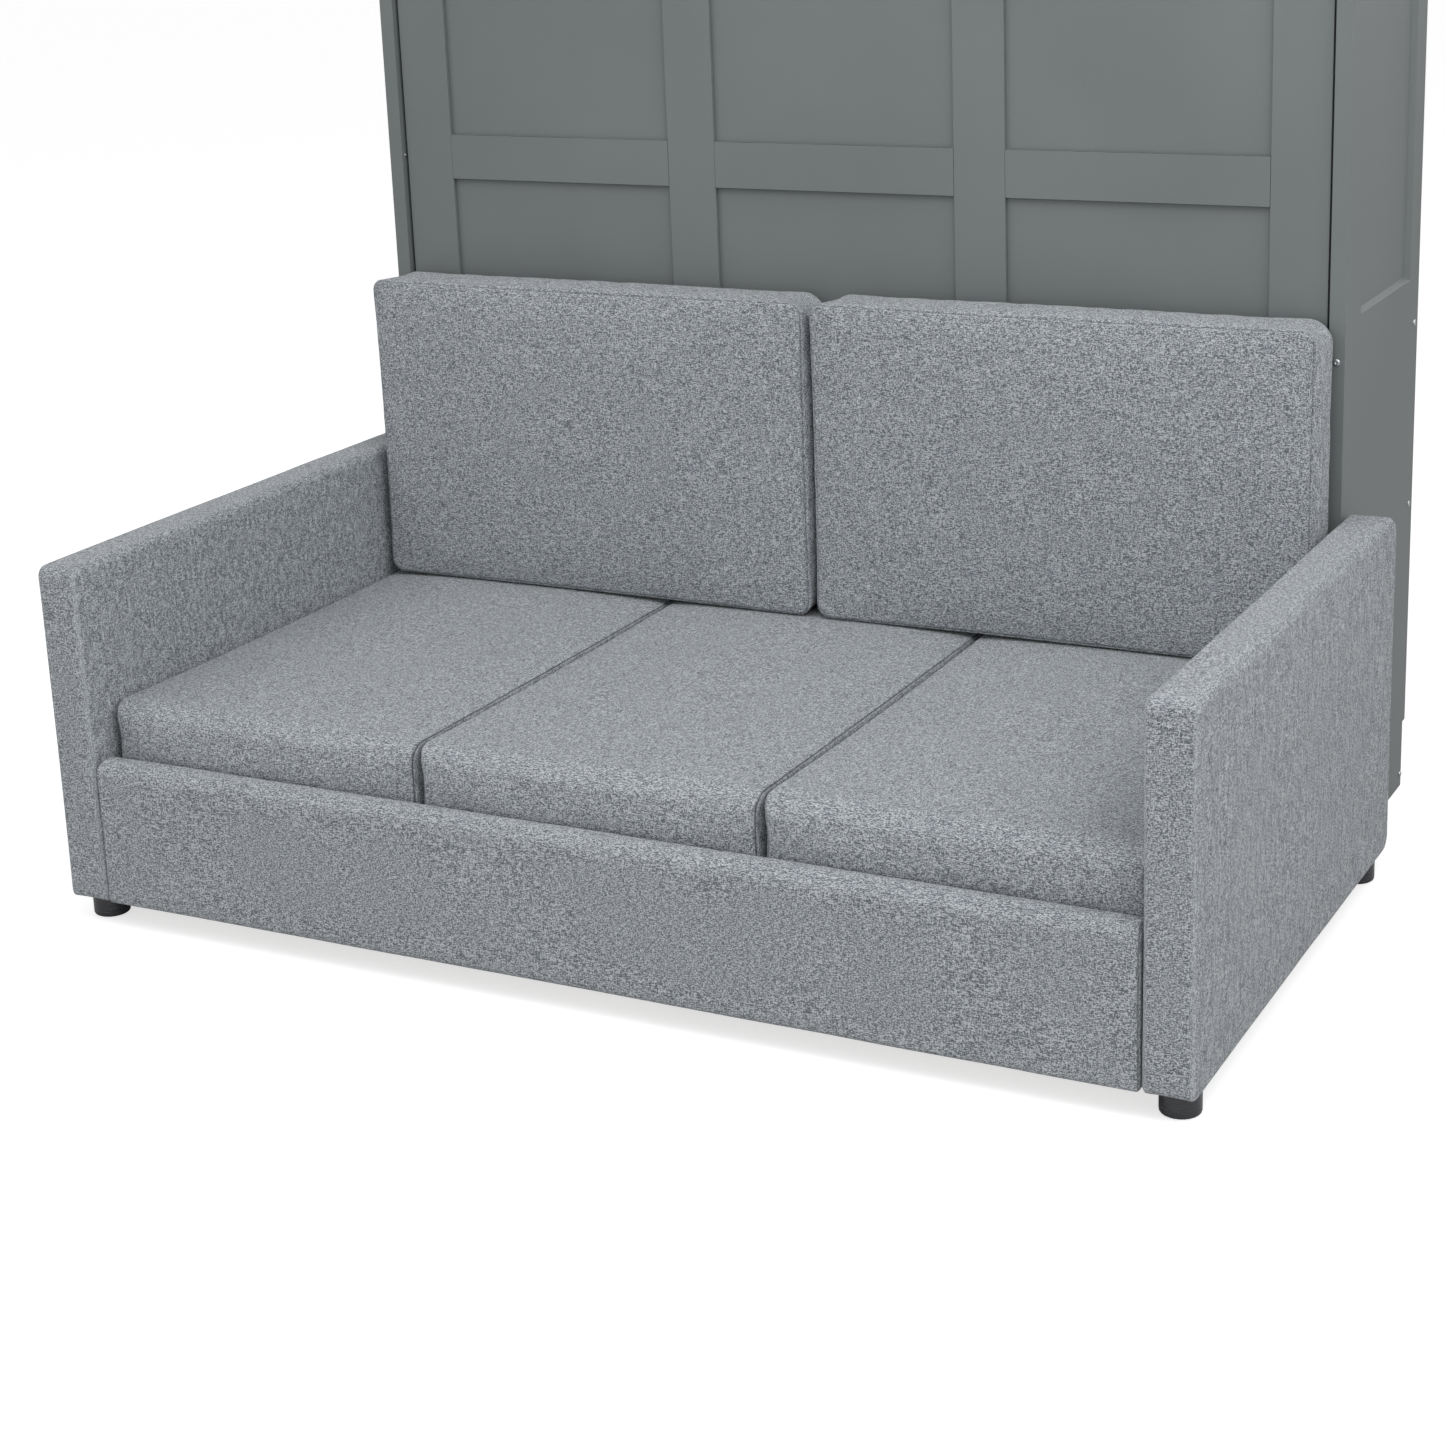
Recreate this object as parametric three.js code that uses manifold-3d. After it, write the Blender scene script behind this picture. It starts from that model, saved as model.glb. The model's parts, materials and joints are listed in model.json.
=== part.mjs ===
// A wall bed that folds up into a panelled cabinet, with a three-seat sofa in front of it.
// Millimetres, +Z up. The origin is on the floor, in the middle of the whole outline.
// +X is to the right of someone who faces the sofa, and +Y points to the wall.
// The layout below is worked out in the cabinet's own frame, where Y is zero at the front edges of the
// cabinet's sides, and one group moves it all to the origin.

import * as THREE from "three";
import { mergeVertices } from "three/addons/utils/BufferGeometryUtils.js";
import Module from "manifold-3d";

const wasm = await Module();
wasm.setup();

// Fits

const seatGap = 0.3; // between two pieces that are screwed, glued or laid on each other
const runningGap = 0.4; // round a pin in its hole
const cutOverrun = 5; // how far a cutting shape runs past the face that it cuts

// Cabinet

const cabinetDepth = 432;
const sideThickness = 25;
const topThickness = 22;
const boardEdge = 1; // the small chamfer on the edges of the painted boards

const skirtingDepth = 15; // the notch at the foot of the sides that clears a skirting board
const skirtingHeight = 112;
const fieldDepth = 8; // the sunk field in the outer face of each side
const fieldBottom = 863;
const fieldFrontStile = 88;
const fieldRearStile = 64;
const fieldTopRail = 90;
const fieldBevel = 5;

const backRailThickness = 18;
const backRailHeight = 100;
const backRailBottom = 880; // the middle back rail's lower edge
const backPanelThickness = 4;

const baseRailThickness = 18;
const baseRailFrontHeight = 150;
const baseRailRearHeight = 120;

// Sofa

const armThickness = 76;
const armReach = 900; // from the front of the arms to the front edges of the cabinet's sides
const armOverlap = 45; // how far the arms run back along the cabinet's sides
const armHeight = 531;
const armEdgeRadius = 12;
const armSteps = { flat: [1, 2, 1], round: 2 };

const footRadius = 28;
const footHeight = 38;
const footNeckRadius = 25;
const footNeckHeight = 5;
const footEdgeRadius = 4;
const footInset = 52; // from the ends of the arms to the middle of a foot
const footSteps = 24;
const footEdgeSteps = 2;

const frontRailThickness = 45;
const frontRailHeight = 230;
const frontRailEdgeRadius = 19;
const frontRailSteps = { flat: [2, 1, 1], round: 3 };

const bearerThickness = 25;
const bearerHeight = 177;
const rearBearerGap = 8; // between the rear bearer and the front plane of the cabinet's sides
const centreBearerThickness = 45;
const deckThickness = 15;
const deckEndGap = 4;

const seatCushionHeight = 123;
const seatCushionGap = 4;
const seatCushionCrown = 9;
const seatCushionDraw = 4;
const seatCushionEdgeRadius = 20;
const seatCushionSteps = { flat: [4, 4, 1], round: 2 };
const seatCushionBackGap = 8;

const backCushionHeight = 516;
const backCushionThickness = 108;
const backCushionGap = 4;
const backCushionSideGap = 11.3; // to the arms
const backCushionStandOff = 6; // behind the back cushions, up to the front plane of the cabinet's sides
const backCushionCrown = 9;
const backCushionDraw = 5;
const backCushionEdgeRadius = 15;
const backCushionSteps = { flat: [6, 1, 4], round: 2 };
const cushionFoldGap = 0.4; // between the seat's crown and the back cushions

const seatCount = 3;
const backCushionCount = 2;

// Door, which is the underside of the bed

const doorSideGap = 5;
const doorSetBack = 9;
const doorTopGap = 6;
const doorBottomGap = 40; // over the front base rail
const doorFrameThickness = 8;
const doorPanelThickness = 10;
const outerStileWidth = 89;
const innerStileWidth = 84.5;
const endRailWidth = 86;
const midRailWidth = 75;
const midRailBottom = 1022;
const columnCount = 3;

// Bed box behind the door

const mattressWidth = 1524;
const mattressLength = 2032;
const mattressSideGap = 2.5;
const mattressEndGap = 4;
const bedBottomInset = 5; // from the door's lower edge to the bed box
const bedTopInset = 1; // from the bed box to the door's upper edge
const bedSideClearance = 23.5; // between the bed box and the cabinet's sides, for the pivots and the springs
const bedSideThickness = 12;
const bedSideDepth = 150;
const bedCornerCut = 30; // the slanted corners of the bed's sides
const bedEndThickness = 18;
const slatStandOff = 33; // from the door's back to the slats
const slatLedgerWidth = 20;
const bedCentreRailWidth = 45;
const slatThickness = 12;
const slatWidth = 70;
const slatCount = 11;
const slatEndGap = 3;
const slatMargin = 45; // from the bed's ends to the first and last slat
const webbingWidth = 40;
const webbingThickness = 1.5;
const webbingSink = 0.5;
const webbingOffset = 480;

// Pivots and the clearance under the open bed

const pivotBehindFace = 45; // from the door's face to the pivot's axis
const openBedGap = 5; // between the open bed and the folded back cushions
const pivotPinRadius = 8;
const pivotPinEndGap = 0.8;
const pivotPlateThickness = 3;
const pivotPlateRadius = 25;
const pivotPlateRise = 70;
const bedPlateThickness = 4;
const bedPlateRadius = 24;
const pinSteps = 20; // the facets round a pin, a rod or a cylinder

// Gas springs

const springAnchorBack = 150; // the upper end, measured from the pivot's axis
const springAnchorRise = 720;
const springStudBack = 40; // the lower end, measured from the pivot's axis
const springStudDrop = 140;
const springInset = 13; // from the cabinet's inner side to the spring's axis
const cylinderRadius = 9;
const cylinderLength = 622;
const cylinderBoreDepth = 240;
const cylinderNeckRadius = 6;
const cylinderNeckLength = 16;
const rodRadius = 4;
const rodNeckRadius = 5;
const rodOverlap = 24; // the length of rod that stays in the cylinder when the bed is up
const eyeRadius = 9;
const eyeThickness = 6;
const studRadius = 4;
const studTipGap = 0.6;
const springBracketHeight = 90;
const springBracketWidth = 36;
const springBracketRadius = 8;

// Stops that the bed leans against when it is up

const stopHeight = 60;
const stopDepth = 25;
const stopDrop = 168; // from the top panel to the upper end of a stop
const stopSideGap = 2;

// Folding legs at the foot end of the bed

const legWidth = 40;
const legDepth = 20;
const legAxisDrop = 57; // from the door's upper edge to the leg's axis
const legAxisStandOff = 21; // from the door's face to the leg's axis
const legEdge = 3;
const legFloorGap = 0.5;
const legInset = 45; // from the door's side edges to the middle of a leg
const legPinRadius = 4;
const legEarThickness = 3;
const legEarGap = 0.5;
const legEarRadius = 12;
const legBracketPlate = 3;
const legBracketHeight = 80;
const legBracketWidth = 80;

// Places that follow from the sizes above

const bedInnerHalf = mattressWidth / 2 + mattressSideGap;
const bedOuterHalf = bedInnerHalf + bedSideThickness;
const innerHalf = bedOuterHalf + bedSideClearance;
const cabinetHalf = innerHalf + sideThickness;

const doorHalf = innerHalf - doorSideGap;
const doorBottom = baseRailFrontHeight + doorBottomGap;
const bedBottom = doorBottom + bedBottomInset;
const bedHeadInner = bedBottom + bedEndThickness;
const bedFootInner = bedHeadInner + mattressLength + 2 * mattressEndGap;
const bedTop = bedFootInner + bedEndThickness;
const doorTop = bedTop + bedTopInset;
const topUnderside = doorTop + doorTopGap;
const cabinetHeight = topUnderside + topThickness;
const sideHeight = topUnderside - seatGap;

const armInner = cabinetHalf + seatGap;
const armOuter = armInner + armThickness;
const armFront = -armReach;
const armRear = armOverlap;
const armBottom = footHeight;
const armTop = armBottom + armHeight;

const frontRailRear = armFront + frontRailThickness;
const frontBearerFront = frontRailRear + seatGap;
const frontBearerRear = frontBearerFront + bearerThickness;
const rearBearerRear = -rearBearerGap;
const rearBearerFront = rearBearerRear - bearerThickness;
const bearerTop = armBottom + bearerHeight;
const deckBottom = bearerTop + seatGap;
const deckTop = deckBottom + deckThickness;
const seatBottom = deckTop + seatGap;
const seatTop = seatBottom + seatCushionHeight;

const backCushionBottom = seatTop + cushionFoldGap;
const backCushionRear = -backCushionStandOff;
const foldedCushionTop = backCushionBottom + backCushionThickness;

const doorFace = doorSetBack;
const doorFrameRear = doorFace + doorFrameThickness;
const doorPanelFront = doorFrameRear + seatGap;
const doorPanelRear = doorPanelFront + doorPanelThickness;
const bedFront = doorPanelRear + seatGap;
const bedRear = bedFront + bedSideDepth;
const slatFront = bedFront + slatStandOff + seatGap;
const slatRear = slatFront + slatThickness;

const pivotY = doorFace + pivotBehindFace;
const pivotZ = foldedCushionTop + openBedGap + pivotBehindFace;

const anchorY = pivotY + springAnchorBack;
const anchorZ = pivotZ + springAnchorRise;
const studY = pivotY + springStudBack;
const studZ = pivotZ - springStudDrop;
const springX = innerHalf - springInset;
const springLength = Math.hypot(anchorY - studY, anchorZ - studZ);
const springTilt = Math.atan2(anchorY - studY, anchorZ - studZ);

const legX = doorHalf - legInset;
const legAxisY = doorFace - legAxisStandOff;
const legAxisZ = doorTop - legAxisDrop;
const legReach = pivotZ - (pivotY - legAxisY) - legFloorGap;

const outlineShift = (armReach - cabinetDepth) / 2;

// Finishes

const paint = new THREE.MeshStandardMaterial({ color: 0x767c7b, roughness: 0.5, metalness: 0 });
const rawBoard = new THREE.MeshStandardMaterial({ color: 0x8f938f, roughness: 0.7, metalness: 0 });
const pine = new THREE.MeshStandardMaterial({ color: 0xc9a878, roughness: 0.75, metalness: 0 });
const upholstery = new THREE.MeshStandardMaterial({ color: 0x8b9096, roughness: 0.95, metalness: 0 });
const zincSteel = new THREE.MeshStandardMaterial({ color: 0xa9adb0, roughness: 0.35, metalness: 0.9 });
const blackSteel = new THREE.MeshStandardMaterial({ color: 0x202224, roughness: 0.4, metalness: 0.6 });
const blackPlastic = new THREE.MeshStandardMaterial({ color: 0x17181a, roughness: 0.25, metalness: 0 });

// Shape helpers

const xAxis = new THREE.Vector3(1, 0, 0);
const yAxis = new THREE.Vector3(0, 1, 0);
const zAxis = new THREE.Vector3(0, 0, 1);

/** The spans [low, high] of a piece that lies between two distances from the middle, on side -1 or 1. */
function sideSpan(side, near, far) {
  return side > 0 ? [near, far] : [-far, -near];
}

/** The names of the two sides, with the sign of X on each. */
const sides = [
  ["left", -1],
  ["right", 1],
];

/** A plain box between the spans [low, high] along X, Y and Z. */
function box(x, y, z) {
  const geometry = new THREE.BoxGeometry(x[1] - x[0], y[1] - y[0], z[1] - z[0]);
  return geometry.translate((x[0] + x[1]) / 2, (y[0] + y[1]) / 2, (z[0] + z[1]) / 2);
}

/** An outline through the points, given as [x, y] pairs. */
function outline(points) {
  return new THREE.Shape(points.map(([x, y]) => new THREE.Vector2(x, y)));
}

/** A box between the spans, with a chamfer on each of its edges. */
function board(x, y, z, edge = boardEdge) {
  const halfX = (x[1] - x[0]) / 2;
  const halfY = (y[1] - y[0]) / 2;
  const low = [edge - halfX, edge - halfY];
  const corners = outline([
    [low[0], -halfY + edge],
    [halfX - edge, -halfY + edge],
    [halfX - edge, halfY - edge],
    [low[0], halfY - edge],
  ]);
  const geometry = new THREE.ExtrudeGeometry(corners, {
    depth: z[1] - z[0] - 2 * edge,
    bevelThickness: edge,
    bevelSize: edge,
    bevelSegments: 1,
  });
  return geometry.translate((x[0] + x[1]) / 2, (y[0] + y[1]) / 2, z[0] + edge);
}

/** An outline drawn in the Y and Z directions and made solid along X over the span. */
function plate(shape, x, curveSegments = pinSteps / 4) {
  const geometry = new THREE.ExtrudeGeometry(shape, {
    depth: x[1] - x[0],
    bevelEnabled: false,
    curveSegments,
  });
  geometry.applyMatrix4(new THREE.Matrix4().makeBasis(yAxis, zAxis, xAxis));
  return geometry.translate(x[0], 0, 0);
}

/** A round bar along X over the span, with its axis at the place y, z. */
function roundBar(radius, x, y, z) {
  const geometry = new THREE.CylinderGeometry(radius, radius, x[1] - x[0], pinSteps);
  geometry.rotateZ(Math.PI / 2);
  return geometry.translate((x[0] + x[1]) / 2, y, z);
}

/** The outline of two discs of one radius joined by their common tangents, in the Y and Z directions. */
function linkOutline(from, to, radius) {
  const angle = Math.atan2(to[1] - from[1], to[0] - from[0]);
  const shape = new THREE.Shape();
  shape.absarc(from[0], from[1], radius, angle + Math.PI / 2, angle - Math.PI / 2, false);
  shape.absarc(to[0], to[1], radius, angle - Math.PI / 2, angle + Math.PI / 2, false);
  shape.closePath();
  return shape;
}

/** The closed mesh with shared corners that a geometry stands for, without faces that have no area. */
function welded(geometry) {
  const bare = geometry.clone();
  bare.deleteAttribute("normal");
  bare.deleteAttribute("uv");
  const mesh = mergeVertices(bare);
  const corners = [];
  for (let start = 0; start < mesh.index.count; start += 3) {
    const [a, b, c] = mesh.index.array.slice(start, start + 3);
    if (a !== b && b !== c && c !== a) {
      corners.push(a, b, c);
    }
  }
  mesh.setIndex(corners);
  return mesh;
}

/** The solid that a geometry bounds. */
function solidOf(geometry) {
  const mesh = welded(geometry);
  return new wasm.Manifold(
    new wasm.Mesh({
      numProp: 3,
      vertProperties: new Float32Array(mesh.attributes.position.array),
      triVerts: new Uint32Array(mesh.index.array),
    }),
  );
}

/** The geometry of a solid. */
function geometryOf(solid) {
  const mesh = solid.getMesh();
  const geometry = new THREE.BufferGeometry();
  geometry.setAttribute("position", new THREE.BufferAttribute(mesh.vertProperties, mesh.numProp));
  geometry.setIndex(new THREE.BufferAttribute(mesh.triVerts, 1));
  geometry.computeVertexNormals();
  return geometry;
}

/** The first geometry joined with the others. */
function joined(first, ...others) {
  return geometryOf(others.reduce((whole, next) => whole.add(solidOf(next)), solidOf(first)));
}

/** The first geometry with the others cut away. */
function cut(first, ...others) {
  return geometryOf(others.reduce((whole, next) => whole.subtract(solidOf(next)), solidOf(first)));
}

/**
 * The places of the grid lines across one direction of a padded form: even steps over the flat part and
 * steps of equal angle over each rounded edge.
 */
function paddedLines(half, radius, flatSteps, roundSteps) {
  const flat = half - radius;
  const lines = [];
  for (let step = roundSteps; step > 0; step -= 1) {
    lines.push(-flat - radius * Math.tan((Math.PI / 4) * (step / roundSteps)));
  }
  for (let step = 0; step <= flatSteps; step += 1) {
    lines.push(flat * ((2 * step) / flatSteps - 1));
  }
  for (let step = 1; step <= roundSteps; step += 1) {
    lines.push(flat + radius * Math.tan((Math.PI / 4) * (step / roundSteps)));
  }
  return lines;
}

/**
 * A padded form between the spans, with rounded edges. Along the axis of swell.axis its two faces swell
 * to the full span in the middle and fall by swell.low and swell.high at their rims, and the sides round
 * them are drawn in by swell.draw midway between the corners. swell.firm is the one side, as its axis and
 * the sign of its direction, that stays straight under what lies against it: the swell runs level to it.
 */
function paddedForm(spans, radius, steps, swell) {
  const half = spans.map(([low, high]) => (high - low) / 2);
  const middle = spans.map(([low, high]) => (high + low) / 2);
  const lines = half.map((size, axis) => paddedLines(size, radius, steps.flat[axis], steps.round));
  const counts = lines.map((places) => places.length - 1);
  const grid = welded(new THREE.BoxGeometry(1, 1, 1, ...counts));
  const places = grid.attributes.position;
  const point = new THREE.Vector3();
  const core = new THREE.Vector3();
  const others = [0, 1, 2].filter((axis) => axis !== swell.axis);
  for (let index = 0; index < places.count; index += 1) {
    point.fromBufferAttribute(places, index);
    for (let axis = 0; axis < half.length; axis += 1) {
      const line = Math.round((point.getComponent(axis) + 1 / 2) * counts[axis]);
      const place = lines[axis][line];
      const flat = half[axis] - radius;
      point.setComponent(axis, place);
      core.setComponent(axis, Math.min(Math.max(place, -flat), flat));
    }
    point.sub(core).setLength(radius).add(core);
    const shares = half.map((size, axis) => point.getComponent(axis) / size);
    const soft = shares.map((share, axis) => {
      const isFirm = axis === swell.firm.axis && share * swell.firm.sign > 0;
      return isFirm ? 0 : share;
    });
    const rim = 1 - (1 - soft[others[0]] ** 2) * (1 - soft[others[1]] ** 2);
    const across = shares[swell.axis];
    const fall = across > 0 ? swell.high : swell.low;
    point.setComponent(swell.axis, point.getComponent(swell.axis) - fall * rim * across);
    for (const [axis, along] of [others, [...others].reverse()]) {
      const pull = swell.draw * soft[axis] ** 3 * (1 - shares[along] ** 2);
      point.setComponent(axis, point.getComponent(axis) - pull);
    }
    places.setXYZ(index, point.x, point.y, point.z);
  }
  grid.computeVertexNormals();
  return grid.translate(...middle);
}

/** The swell of a form that is padded tight over a board, with no crown. */
const tight = { axis: 0, low: 0, high: 0, draw: 0, firm: { axis: 0, sign: 1 } };

const wallBed = new THREE.Group();
const layout = new THREE.Group();
layout.position.y = outlineShift;
wallBed.add(layout);

/** Adds one named piece to the layout, or to a group inside it. */
function piece(name, geometry, material, parent = layout) {
  const mesh = new THREE.Mesh(geometry, material);
  mesh.name = name;
  parent.add(mesh);
  return mesh;
}

// Cabinet

/** One side of the cabinet: a board with a sunk field outside and a notch over the skirting board. */
function cabinetSide(name, side) {
  const panel = board(sideSpan(side, innerHalf, cabinetHalf), [0, cabinetDepth], [0, sideHeight]);
  const notch = box(
    sideSpan(side, innerHalf - cutOverrun, cabinetHalf + cutOverrun),
    [cabinetDepth - skirtingDepth, cabinetDepth + cutOverrun],
    [-cutOverrun, skirtingHeight],
  );
  const front = fieldFrontStile;
  const rear = cabinetDepth - fieldRearStile;
  const top = sideHeight - fieldTopRail;
  const floorX = cabinetHalf - fieldDepth;
  const lip = fieldBevel * (1 + cutOverrun / fieldDepth);
  const field = frustum(
    [side * floorX, [front, rear], [fieldBottom, top]],
    [side * (cabinetHalf + cutOverrun), [front - lip, rear + lip], [fieldBottom - lip, top + lip]],
  );
  piece(`side_panel_${name}`, cut(panel, notch, field), paint);
}

/** A solid between two rectangles that stand across X, each given as [x, ySpan, zSpan]. */
function frustum(first, second) {
  const ends = first[0] < second[0] ? [first, second] : [second, first];
  const corners = ends.flatMap(([x, y, z]) => [
    [x, y[0], z[0]],
    [x, y[1], z[0]],
    [x, y[1], z[1]],
    [x, y[0], z[1]],
  ]);
  const geometry = new THREE.BufferGeometry();
  geometry.setAttribute("position", new THREE.Float32BufferAttribute(corners.flat(), 3));
  const faces = [0, 2, 1, 0, 3, 2, 4, 5, 6, 4, 6, 7];
  for (let corner = 0; corner < 4; corner += 1) {
    const next = (corner + 1) % 4;
    faces.push(corner, next, next + 4, corner, next + 4, corner + 4);
  }
  geometry.setIndex(faces);
  return geometry;
}

/** The boards that join the two sides, and the thin back. */
function cabinetCase() {
  const across = [seatGap - innerHalf, innerHalf - seatGap];
  const whole = [-cabinetHalf, cabinetHalf];
  const railRear = [cabinetDepth - backRailThickness, cabinetDepth];
  const panelRear = railRear[0] - seatGap;
  const railTop = topUnderside - seatGap;
  const skirtingFront = cabinetDepth - skirtingDepth;
  piece("top_panel", board(whole, [0, cabinetDepth], [topUnderside, cabinetHeight]), paint);
  piece("back_rail_upper", board(across, railRear, [railTop - backRailHeight, railTop]), paint);
  piece("back_rail_middle", board(across, railRear, [backRailBottom, backRailBottom + backRailHeight]), paint);
  piece("back_panel", box(across, [panelRear - backPanelThickness, panelRear], [backRailBottom, railTop]), rawBoard);
  piece(
    "base_rail_front",
    board(across, [doorFace, doorFace + baseRailThickness], [0, baseRailFrontHeight]),
    paint,
  );
  piece(
    "base_rail_rear",
    board(across, [skirtingFront - baseRailThickness, skirtingFront], [0, baseRailRearHeight]),
    paint,
  );
}

// Sofa

/** A foot: a turned plastic cylinder with a rounded rim on the floor and a short neck under the arm. */
function foot(name, x, y) {
  const top = footHeight - seatGap;
  const shoulder = top - footNeckHeight;
  const profile = new THREE.Path();
  profile.moveTo(0, 0);
  profile.lineTo(footRadius - footEdgeRadius, 0);
  profile.absarc(footRadius - footEdgeRadius, footEdgeRadius, footEdgeRadius, -Math.PI / 2, 0, false);
  profile.lineTo(footRadius, shoulder);
  profile.lineTo(footNeckRadius, shoulder);
  profile.lineTo(footNeckRadius, top);
  profile.lineTo(0, top);
  const turned = new THREE.LatheGeometry(profile.getPoints(footEdgeSteps), footSteps);
  turned.rotateX(Math.PI / 2);
  piece(`sofa_foot_${name}`, turned.translate(x, y, 0), blackPlastic);
}

/** The padded arms, which are bolted to the outside of the cabinet's sides. */
function sofaArms() {
  const footX = (armInner + armOuter) / 2;
  for (const [name, side] of sides) {
    const spans = [sideSpan(side, armInner, armOuter), [armFront, armRear], [armBottom, armTop]];
    piece(`sofa_arm_${name}`, paddedForm(spans, armEdgeRadius, armSteps, tight), upholstery);
    foot(`front_${name}`, side * footX, armFront + footInset);
    foot(`rear_${name}`, side * footX, armRear - footInset);
  }
}

/** The padded front rail, the bearers behind it and the deck that the seat cushions lie on. */
function sofaFrame() {
  const across = [-cabinetHalf, cabinetHalf];
  const railTop = armBottom + frontRailHeight;
  const railSpans = [across, [armFront, frontRailRear], [armBottom, railTop]];
  piece("sofa_front_rail", paddedForm(railSpans, frontRailEdgeRadius, frontRailSteps, tight), upholstery);
  const height = [armBottom, bearerTop];
  piece("sofa_front_bearer", box(across, [frontBearerFront, frontBearerRear], height), pine);
  piece("sofa_rear_bearer", box(across, [rearBearerFront, rearBearerRear], height), pine);
  const lengthwise = [frontBearerRear + seatGap, rearBearerFront - seatGap];
  const centre = [-centreBearerThickness / 2, centreBearerThickness / 2];
  piece("sofa_centre_bearer", box(centre, lengthwise, height), pine);
  const deckSpan = [deckEndGap - cabinetHalf, cabinetHalf - deckEndGap];
  piece("sofa_deck", box(deckSpan, [frontBearerFront, rearBearerRear], [deckBottom, deckTop]), pine);
  foot("centre", 0, (frontBearerRear + rearBearerFront) / 2);
}

/** The seat cushions: flat below, crowned above and level at the rear, where the back cushions stand. */
function seatCushions() {
  const names = ["left", "centre", "right"];
  const pitch = (2 * armInner - seatCushionGap) / seatCount;
  const depth = [frontBearerFront, -seatCushionBackGap];
  const firm = { axis: 1, sign: 1 };
  const swell = { axis: 2, low: 0, high: seatCushionCrown, draw: seatCushionDraw, firm };
  for (let seat = 0; seat < seatCount; seat += 1) {
    const start = seatCushionGap - armInner + seat * pitch;
    const spans = [[start, start + pitch - seatCushionGap], depth, [seatBottom, seatTop]];
    const form = paddedForm(spans, seatCushionEdgeRadius, seatCushionSteps, swell);
    piece(`seat_cushion_${names[seat]}`, form, upholstery);
  }
}

/** The back cushions, which stand on the seat and tip forward over their lower front edge. */
function backCushions() {
  const names = ["left", "right"];
  const outer = armInner - backCushionSideGap;
  const pitch = (2 * outer + backCushionGap) / backCushionCount;
  const depth = [backCushionRear - backCushionThickness, backCushionRear];
  const height = [backCushionBottom, backCushionBottom + backCushionHeight];
  const firm = { axis: 2, sign: -1 };
  const swell = { axis: 1, low: backCushionCrown, high: 0, draw: backCushionDraw, firm };
  for (let seat = 0; seat < backCushionCount; seat += 1) {
    const start = seat * pitch - outer;
    const spans = [[start, start + pitch - backCushionGap], depth, height];
    const form = paddedForm(spans, backCushionEdgeRadius, backCushionSteps, swell);
    piece(`back_cushion_${names[seat]}`, form, upholstery);
  }
}

// Door

/** The panelled door: a thin sheet with stiles and rails glued on its face. */
function door() {
  const frame = [doorFace, doorFrameRear];
  const height = [doorBottom, doorTop];
  const sheet = [doorPanelFront, doorPanelRear];
  piece("door_panel", board([-doorHalf, doorHalf], sheet, height), paint);
  for (const [name, side] of sides) {
    const outer = sideSpan(side, doorHalf - outerStileWidth, doorHalf);
    piece(`door_stile_outer_${name}`, board(outer, frame, height), paint);
  }
  const inside = doorHalf - outerStileWidth - seatGap;
  const lower = [doorBottom, doorBottom + endRailWidth];
  const upper = [doorTop - endRailWidth, doorTop];
  piece("door_rail_bottom", board([-inside, inside], frame, lower), paint);
  piece("door_rail_top", board([-inside, inside], frame, upper), paint);
  const between = [lower[1] + seatGap, upper[0] - seatGap];
  const stiles = (columnCount - 1) * innerStileWidth;
  const column = (2 * (doorHalf - outerStileWidth) - stiles) / columnCount;
  for (const [name, side] of sides) {
    const near = column / 2;
    piece(`door_stile_inner_${name}`, board(sideSpan(side, near, near + innerStileWidth), frame, between), paint);
  }
  const names = ["left", "centre", "right"];
  for (let index = 0; index < columnCount; index += 1) {
    const start = outerStileWidth - doorHalf + index * (column + innerStileWidth);
    const span = [start + seatGap, start + column - seatGap];
    const rail = board(span, frame, [midRailBottom, midRailBottom + midRailWidth]);
    piece(`door_rail_mid_${names[index]}`, rail, paint);
  }
}

// Bed box

/** The box that holds the mattress: sides, ends, ledgers and the centre rail, all fixed to the door's back. */
function bedBox() {
  const inner = [seatGap - bedInnerHalf, bedInnerHalf - seatGap];
  const along = [bedHeadInner + seatGap, bedFootInner - seatGap];
  const ledgerDepth = [bedFront, bedFront + slatStandOff];
  const sideOutline = outline([
    [bedFront, bedBottom],
    [bedRear - bedCornerCut, bedBottom],
    [bedRear, bedBottom + bedCornerCut],
    [bedRear, bedTop - bedCornerCut],
    [bedRear - bedCornerCut, bedTop],
    [bedFront, bedTop],
  ]);
  for (const [name, side] of sides) {
    piece(`bed_side_${name}`, plate(sideOutline, sideSpan(side, bedInnerHalf, bedOuterHalf)), paint);
    const ledgerOuter = bedInnerHalf - seatGap;
    const ledgerSpan = sideSpan(side, ledgerOuter - slatLedgerWidth, ledgerOuter);
    piece(`slat_ledger_${name}`, box(ledgerSpan, ledgerDepth, along), pine);
  }
  const endDepth = [bedFront, bedRear - bedCornerCut];
  piece("bed_head_board", board(inner, endDepth, [bedBottom, bedHeadInner]), paint);
  piece("bed_foot_board", board(inner, endDepth, [bedFootInner, bedTop]), paint);
  const centre = [-bedCentreRailWidth / 2, bedCentreRailWidth / 2];
  piece("bed_centre_rail", box(centre, ledgerDepth, along), pine);
  piece("slat_set", slatSet(), pine);
}

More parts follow.
